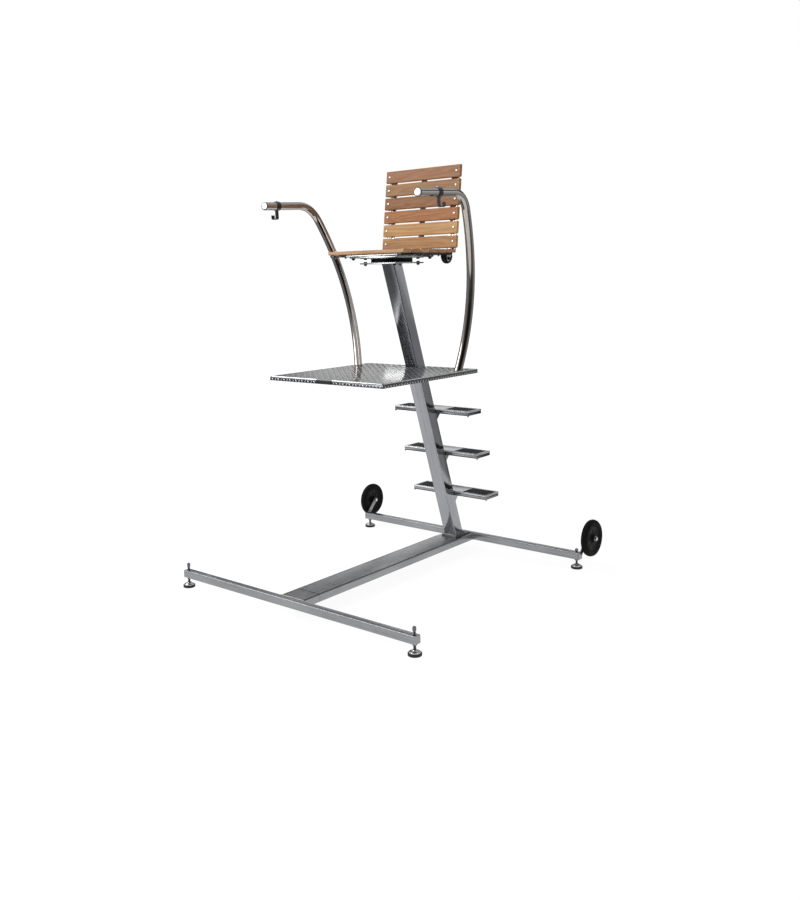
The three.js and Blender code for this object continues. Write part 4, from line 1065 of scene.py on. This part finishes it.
def at_corners(shape, reach, z, hanging=False):
    """The shape at the four corners of a square round the swivel's axis, upright or hanging."""
    corners = [(x, swivel_y + y, z) for x in (-reach, reach) for y in (-reach, reach)]
    return at_places(shape, corners, [upside_down] * 4 if hanging else None)


head = hexagon(0.0156, 0.0058, 0.001)
mount_head = hexagon(0.0165, 0.007, 0.001)
end = turned([(0.005, 0), (0.005, 0.003), (0.0042, 0.0038), (0.001, 0.0038)], 24)
flush_head = turned([(0.0085, 0), (0.0085, 0.0002), (0.006, 0.0004)], 32)
mast_plate_z, flange_top_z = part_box("mast_top_plate")[0].z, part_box("swivel_lower_flange")[1].z
upper_flange_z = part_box("swivel_upper_flange")[0].z
mount_low, mount_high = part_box("seat_mounting_plate")
lower_bolts = together(
    at_corners(head, FLANGE_REACH, flange_top_z),
    at_corners(head, FLANGE_REACH, mast_plate_z, True),
    at_corners(end, FLANGE_REACH, mast_plate_z - NUT_HEIGHT_UNDER_FLANGE, True),
)
piece("lower_swivel_bolts", lower_bolts, "frame", black_oxide)
upper_bolts = together(
    at_corners(head, FLANGE_REACH, upper_flange_z, True),
    at_corners(flush_head, FLANGE_REACH, mount_high.z),
)
piece("upper_swivel_bolts", upper_bolts, "seat", black_oxide)
mount_bolts = together(
    at_corners(mount_head, MOUNT_REACH, mount_low.z, True),
    at_corners(end, MOUNT_REACH, mount_low.z - NUT_HEIGHT_UNDER_MOUNT, True),
)
piece("seat_mounting_bolts", mount_bolts, "seat", black_oxide)


# Seat
# Six oiled hardwood slats with eased edges across a welded frame of flat bars. A bolt near each end
# of a slat passes through the bar to a bright nut.

SIDE_BAR_INNER = 0.2130
seat_bar_steel = steel("Seat frame steel", "#c9cacc", "#9b9c9e", 0.1, 0.22, 60, relief=0.06)

# Painted shade: the side bars under the slats' ends are coloured dark for the shade under the slats, and
# the others are bright
tree = seat_bar_steel.node_tree
bright_bar = tree.nodes["Principled BSDF"].inputs["Base Color"]
place = wire(tree, "ShaderNodeTexCoord").outputs["Object"]
sideways = number(tree, "ABSOLUTE", wire(tree, "ShaderNodeSeparateXYZ", {0: place}).outputs["X"])
shaded_side_bar = spread(tree, sideways, SIDE_BAR_INNER, SIDE_BAR_INNER + 0.0005)
painted_side_shade = blend(tree, shaded_side_bar, bright_bar.links[0].from_socket, colour("#3a3a3d"))
tree.links.new(painted_side_shade, bright_bar)
rounded_copy("seat_frame", "seat_frame_edges", "seat", seat_bar_steel, width=0.0009)

# Wood effect: growth rings drawn out along the board, fine fibres, pores and a few dark knots
wood, taken = effect(
    "Hardwood", Position=ORIGIN, Shift=ORIGIN, Turn=ORIGIN, Light=(0.5, 0.3, 0.2, 1),
    Dark=(0.3, 0.15, 0.08, 1), Knot=(0.1, 0.05, 0.03, 1), Knot_size=0.1,
)
shifted = mapped(wood, taken["Position"], Location=taken["Shift"], Rotation=taken["Turn"])
ring_place = mapped(wood, shifted, Scale=(1.2, 16.0, 16.0))
knot_place = mapped(wood, shifted, Scale=(3.4, 9.0, 9.0))
knot_cells = wire(wood, "ShaderNodeTexVoronoi", {"Vector": knot_place, "Scale": 1.0, "Randomness": 1.0})
knot_mask = spread(wood, knot_cells.outputs["Distance"], 0.0, taken["Knot size"], 1.0, 0.0, "SMOOTHSTEP")
ring_push = number(wood, "MULTIPLY", noise(wood, ring_place, 0.9, 3.0), 9.0)
ring_push = number(wood, "MULTIPLY_ADD", knot_mask, 2.5, ring_push)
ring_fold = number(wood, "PINGPONG", number(wood, "MULTIPLY", ring_push, 2.4), 1.0)
fibre = noise(wood, mapped(wood, shifted, Scale=(14.0, 520.0, 520.0)), 1.0, 4.0, 0.7)
share = number(wood, "MULTIPLY", ring_fold, 0.45)
share = number(wood, "MULTIPLY_ADD", fibre, 0.4, share)
share = number(wood, "MULTIPLY_ADD", noise(wood, ring_place, 0.5, 2.0), 0.5, share)
board_tone = blend(wood, spread(wood, share, 0.2, 1.1), taken["Dark"], taken["Light"])
give(
    wood,
    Colour=blend(wood, knot_mask, board_tone, taken["Knot"]),
    Roughness=spread(wood, fibre, 0.0, 1.0, 0.62, 0.42),
    Height=fibre,
)


def slat_wood(name, light, dark, grain_number, turn=ORIGIN):
    """The wood of one board, shifted by its number so that no two boards show the same grain."""
    shift = (grain_number * 1.7, grain_number * 0.9, grain_number * 2.3)
    return surface(
        name, wood, relief=0.25, depth=0.0006, Shift=shift, Turn=turn, Light=light, Dark=dark,
        Knot="#5f3c22", Knot_size=0.1,
    )


SLAT_THICK = 0.018
SLAT_ROUND = 0.004
SLAT_EASE = 0.0015


def board(middle, low_x, high_x, width, up, across):
    """A slat: a rounded outline carried along its length, drawn in a little at both ends."""
    outline = rounded_outline(width, SLAT_THICK, SLAT_ROUND, 5)
    return rail_of(outline, (low_x, *middle[1:]), (high_x, *middle[1:]), across, up, SLAT_EASE)


SEAT_TINTS = [("#bf956b", "#8f5f3a"), ("#b3855d", "#835332"), ("#c59d73", "#956640"),
              ("#af7f56", "#7b4c2e"), ("#bc9067", "#8b5a37"), ("#b7885f", "#855534")]
SLAT_BOLT_INSET = 0.027
HEAD_SUNK = 0.0002
NUT_REACH = 0.0046
nut_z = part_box("seat_frame")[0].z
dome_head = turned([
    (0.0066, 0), (0.0072, 0.0003), (0.0068, 0.0014), (0.005, 0.0024), (0.0022, 0.0029), (0.0006, 0.0030),
], 32)
slat_nut = hexagon(0.0100, 0.0048, 0.0008)
slat_end = turned([(0.003, 0), (0.003, 0.0022), (0.0024, 0.0028), (0.0006, 0.0028)], 20)
slat_bolts = []
for k, (light, dark) in enumerate(SEAT_TINTS, 1):
    low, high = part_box(f"seat_slat_{k}")
    middle = (low + high) / 2
    shape = board(middle, low.x, high.x, high.y - low.y, (0, 0, 1), (0, 1, 0))
    slat_look = slat_wood(f"Seat wood {k}", light, dark, k)
    piece(f"seat_board_{k}", shape, "seat", slat_look, [f"seat_slat_{k}"])
    for x in (SLAT_BOLT_INSET - high.x, high.x - SLAT_BOLT_INSET):
        slat_bolts.append(at_places(dome_head, [(x, middle.y, high.z - HEAD_SUNK)]))
        slat_bolts.append(at_places(slat_nut, [(x, middle.y, nut_z)], [upside_down]))
        slat_bolts.append(at_places(slat_end, [(x, middle.y, nut_z - NUT_REACH)], [upside_down]))
piece("seat_slat_bolts", together(*slat_bolts), "seat", bright_steel)


# Hinge housings
# Black moulded half-round cheeks under the rear bar of the seat frame. The pivot bolts of the
# backrest's bars pass through them.

PIVOT_SHANK = (0.005, 0.001)
PIVOT_HEAD_REACH = 0.0058
pivot_head = hexagon(0.0156, 0.0057, 0.001)
for word, side in (("left", -1), ("right", 1)):
    housing = f"hinge_housing_{word}"
    rounded_copy(
        housing, f"{housing}_edges", "seat", black_plastic, width=0.0016, segments=3,
    )
    node = f"backrest_pivot_{word}"
    pivot = cross_bolt(node, side, PIVOT_SHANK, pivot_head, PIVOT_HEAD_REACH, 24)
    piece(f"pivot_bolt_{word}", pivot, "seat", black_oxide, [node])


# Backrest
# Six slats like the seat's, on two polished flat bars and a dark centre batten, leaning back. The
# bars run down past the seat to their pivots. A screw near each end of a slat holds it.

BACK_LEAN = math.radians(7.4)
back_turn = (BACK_LEAN, 0, 0)
lean_back = np.array([0, math.sin(BACK_LEAN), math.cos(BACK_LEAN)])
lean_out = np.array([0, math.cos(BACK_LEAN), -math.sin(BACK_LEAN)])
for word in ("left", "right"):
    bar = f"backrest_bar_{word}"
    rounded_copy(bar, f"{bar}_edges", "backrest", polished_steel, width=0.0012)
batten_wood = slat_wood("Batten wood", "#7d5233", "#4f301c", 31, back_turn)
rounded_copy(
    "backrest_batten", "backrest_batten_edges", "backrest", batten_wood, width=0.0015,
)

BACK_TINTS = [("#bb8b50", "#885527"), ("#cca163", "#9d6b35"), ("#b37637", "#844b1d"),
              ("#996832", "#734116"), ("#a27745", "#784b24"), ("#a07045", "#7c4b27")]
BACK_WIDTH = 0.0665
SCREW_INSET = 0.024
SCREW_FRONT = 0.0088
SCREW_REAR = 0.015
screw_turn = [np.column_stack([[1, 0, 0], lean_back, -lean_out])]
nut_turn = [np.column_stack([[1, 0, 0], -lean_back, lean_out])]
back_fastened = []
for k, (light, dark) in enumerate(BACK_TINTS, 1):
    low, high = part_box(f"backrest_slat_{k}")
    middle = np.array((low + high) / 2)
    shape = board(middle, low.x, high.x, BACK_WIDTH, lean_out, lean_back)
    slat_look = slat_wood(f"Backrest wood {k}", light, dark, k + 11, back_turn)
    piece(f"backrest_board_{k}", shape, "backrest", slat_look, [f"backrest_slat_{k}"])
    for x in (SCREW_INSET - high.x, high.x - SCREW_INSET):
        front = middle - lean_out * SCREW_FRONT + [x, 0, 0]
        rear = middle + lean_out * SCREW_REAR + [x, 0, 0]
        back_fastened.append(at_places(dome_head, [front], screw_turn))
        back_fastened.append(at_places(slat_nut, [rear], nut_turn))
        back_fastened.append(at_places(slat_end, [rear + lean_out * NUT_REACH], nut_turn))
piece("backrest_screws", together(*back_fastened), "backrest", bright_steel)


# Better finishes for the CAD solids that stay as they are

for node, material in (("spine_joint_sleeve", dark_steel), ("swivel_ball_cage", bright_steel)):
    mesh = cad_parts[node].data
    mesh.materials.clear()
    mesh.materials.append(material)


# Floor, lights and camera
# A white paper floor under the chair in a studio that is white behind it and grey elsewhere. The
# steel takes its dark and light streaks from that. The camera stands where the photograph's did.

FLOOR_HALF = 40.0
floor_mesh = bpy.data.meshes.new("Floor")
floor_corners = [(-FLOOR_HALF, -FLOOR_HALF, 0), (FLOOR_HALF, -FLOOR_HALF, 0)]
floor_corners += [(FLOOR_HALF, FLOOR_HALF, 0), (-FLOOR_HALF, FLOOR_HALF, 0)]
floor_mesh.from_pydata(floor_corners, [], [(0, 1, 2, 3)])
floor = bpy.data.objects.new("Floor", floor_mesh)
bpy.context.scene.collection.objects.link(floor)
floor.location.z = -0.0005

WHITE = (1, 1, 1, 1)
BLACK = (0, 0, 0, 1)
LIT_GREY = (0.6, 0.6, 0.6, 1)
BACKDROP_SIDE = (-0.65, 0.76, 0.0)
RIGHT_SIDE = (0.76, 0.65, 0.0)


def share_along(tree, place, direction):
    """How far a place lies along a direction: their dot product."""
    both = {0: place, 1: direction}
    return wire(tree, "ShaderNodeVectorMath", both, operation="DOT_PRODUCT").outputs["Value"]


def seen_or_mirrored(tree):
    """Two masks from the light path: what metal or glass shows, and that or what the camera sees."""
    path = wire(tree, "ShaderNodeLightPath").outputs
    mirrored = number(tree, "MAXIMUM", path["Is Glossy Ray"], path["Is Transmission Ray"])
    return mirrored, number(tree, "MAXIMUM", path["Is Camera Ray"], mirrored)


# Room tone effect: how bright the studio is in each direction round the chair. A wall tone is an
# angle in degrees, from the backdrop's middle to the right, and the brightness there.
WALL_TONES = [
    (-180, 0.02), (-154, 0.03), (-142, 0.28), (-112, 0.3), (-109, 1.0), (-101.5, 1.0), (-99, 0.26),
    (-88, 0.26), (-80, 0.7), (-62, 0.7), (-54, 0.04), (-6.5, 0.04), (-3.5, 1.0), (22, 1.0), (28, 0.04),
    (34, 0.04), (40, 0.6), (52, 0.6), (58, 0.05), (64, 0.05), (70, 0.78), (98, 0.78), (106, 0.28),
    (126, 0.28), (140, 0.03), (180, 0.02),
]
room_tone, taken = effect("Room tone", Position=ORIGIN)
to_right = share_along(room_tone, taken["Position"], RIGHT_SIDE)
to_backdrop = share_along(room_tone, taken["Position"], BACKDROP_SIDE)
compass = number(room_tone, "ARCTAN2", to_right, to_backdrop)
walls = wire(room_tone, "ShaderNodeValToRGB", {0: spread(room_tone, compass, -math.pi, math.pi)})
while len(walls.color_ramp.elements) < len(WALL_TONES):
    walls.color_ramp.elements.new(0.5)
for element, (degrees_round, tone) in zip(walls.color_ramp.elements, WALL_TONES):
    element.position = (degrees_round + 180) / 360
    element.color = (tone, tone, tone, 1)
give(room_tone, Tone=walls.outputs[0])

# The floor shines white for the camera. In the steel it is white near the chair, and further off it
# takes the walls' tones at half their brightness.
floor_material = bpy.data.materials.new("Pale floor")
floor_material.use_nodes = True
tree = floor_material.node_tree
floor_shader = tree.nodes["Principled BSDF"]
floor_shader.inputs["Base Color"].default_value = (0.86, 0.86, 0.86, 1)
floor_shader.inputs["Roughness"].default_value = 0.9
floor_shader.inputs["Specular IOR Level"].default_value = 0.1
mirrored_share, either = seen_or_mirrored(tree)
place = wire(tree, "ShaderNodeTexCoord").outputs["Object"]
reach = wire(tree, "ShaderNodeVectorMath", {0: place}, operation="LENGTH").outputs["Value"]
near_chair = spread(tree, reach, 2.42, 2.62, 1.0, 0.0, "SMOOTHSTEP")
far_tone = wire(tree, "ShaderNodeGroup", {"Position": place}, node_tree=room_tone).outputs["Tone"]
mirrored_floor = blend(tree, near_chair, blend(tree, 0.5, far_tone, BLACK), WHITE)
glow_colour = blend(tree, mirrored_share, WHITE, mirrored_floor)
white_glow = wire(tree, "ShaderNodeEmission", {"Color": glow_colour, "Strength": 1.065})
far_off = spread(tree, reach, 1.5, 4.0, 0.86, 1.0, "SMOOTHSTEP")
floor_mix = wire(tree, "ShaderNodeMixShader", {
    0: number(tree, "MULTIPLY", either, far_off), 1: floor_shader.outputs[0], 2: white_glow.outputs[0],
})
tree.links.new(floor_mix.outputs[0], tree.nodes["Material Output"].inputs["Surface"])
floor_mesh.materials.append(floor_material)

# The world is white for the camera. In the steel it is the walls, a ceiling over them, and a lit room
# on the camera's side.
world = bpy.data.worlds.new("Studio")
bpy.context.scene.world = world
world.use_nodes = True
tree = world.node_tree
soft_sky = tree.nodes["Background"]
soft_sky.inputs["Color"].default_value = (0.97, 0.98, 1.0, 1)
soft_sky.inputs["Strength"].default_value = 0.55
mirrored_share, either = seen_or_mirrored(tree)
place = wire(tree, "ShaderNodeTexCoord").outputs["Generated"]
height = wire(tree, "ShaderNodeSeparateXYZ", {0: place}).outputs["Z"]
walls_seen = wire(tree, "ShaderNodeGroup", {"Position": place}, node_tree=room_tone).outputs["Tone"]
above_walls = spread(tree, height, 0.28, 0.33, steps="SMOOTHSTEP")
room = blend(tree, above_walls, walls_seen, spread(tree, height, 0.42, 0.56, 0.06, 0.6))
behind_camera = spread(tree, share_along(tree, place, BACKDROP_SIDE), -0.1, -0.5, steps="SMOOTHSTEP")
off_floor = spread(tree, height, 0.04, 0.16, steps="SMOOTHSTEP")
lit_room = blend(tree, number(tree, "MULTIPLY", behind_camera, off_floor), room, LIT_GREY)
sky_colour = blend(tree, mirrored_share, WHITE, lit_room)
seen_sky = wire(tree, "ShaderNodeBackground", {"Color": sky_colour, "Strength": 1.0})
sky_mix = wire(tree, "ShaderNodeMixShader", {0: either, 1: soft_sky.outputs[0], 2: seen_sky.outputs[0]})
tree.links.new(sky_mix.outputs[0], tree.nodes["World Output"].inputs["Surface"])

# Each lamp has its place, its size, its watts and the point that it faces
LAMPS = {
    "Key light": ((-2.2, -4.6, 4.4), (2.4, 2.4), 145, (0, 0, 1.1)),
    "Left softbox": ((-3.4, 0.4, 3.6), (3.6, 3.0), 75, (0, 0, 1.1)),
    "Front strip": ((-3.1, -4.0, 2.2), (2.6, 1.2), 45, (0, 0, 1.7)),
    "Right strip": ((4.6, -0.9, 2.4), (1.1, 3.2), 24, (0, 0, 1.4)),
    "Platform sheen": ((-1.70, 2.27, 1.5), (0.28, 0.24), 0.55, (0.15, -0.15, 1.1)),
    "Mast sheen": ((-1.44, -1.26, 0.2), (0.44, 0.13), 0.36, (0, 0.16, 1.42)),
}
for name, (place, size, watts, target) in LAMPS.items():
    lamp = bpy.data.lights.new(name, "AREA")
    lamp.shape = "RECTANGLE"
    lamp.size, lamp.size_y = size
    lamp.energy = watts
    obj = bpy.data.objects.new(name, lamp)
    bpy.context.scene.collection.objects.link(obj)
    obj.location = place
    obj.rotation_euler = (Vector(target) - Vector(place)).to_track_quat("-Z", "Y").to_euler()

# The camera solved from the photograph's measured edges, for a frame of 800 by 900 pixels
FRAME_WIDTH = 800
FRAME_HEIGHT = 900
FOCAL_PIXELS = 946.32
MIDDLE_PIXEL = (366.79, 339.04)
CAMERA_PLACE = (3.14737, -3.89916, 1.61904)
CAMERA_AZIMUTH = math.radians(40.364)
CAMERA_DIP = math.radians(3.948)
CAMERA_ROLL = math.radians(-1.345)
camera_data = bpy.data.cameras.new("Camera")
camera = bpy.data.objects.new("Camera", camera_data)
bpy.context.scene.collection.objects.link(camera)
bpy.context.scene.camera = camera
camera_data.sensor_fit = "AUTO"
camera_data.sensor_width = 36.0
camera_data.lens = FOCAL_PIXELS / FRAME_HEIGHT * camera_data.sensor_width
camera_data.shift_x = (FRAME_WIDTH / 2 - MIDDLE_PIXEL[0]) / FRAME_HEIGHT
camera_data.shift_y = (MIDDLE_PIXEL[1] - FRAME_HEIGHT / 2) / FRAME_HEIGHT
camera_data.clip_end = 200
forward = Vector((
    -math.sin(CAMERA_AZIMUTH) * math.cos(CAMERA_DIP),
    math.cos(CAMERA_AZIMUTH) * math.cos(CAMERA_DIP),
    -math.sin(CAMERA_DIP),
))
camera.location = CAMERA_PLACE
camera.rotation_euler = forward.to_track_quat("-Z", "Y").to_euler("XYZ")
camera.rotation_euler.rotate_axis("Z", CAMERA_ROLL)

bpy.context.scene.view_settings.view_transform = "Standard"
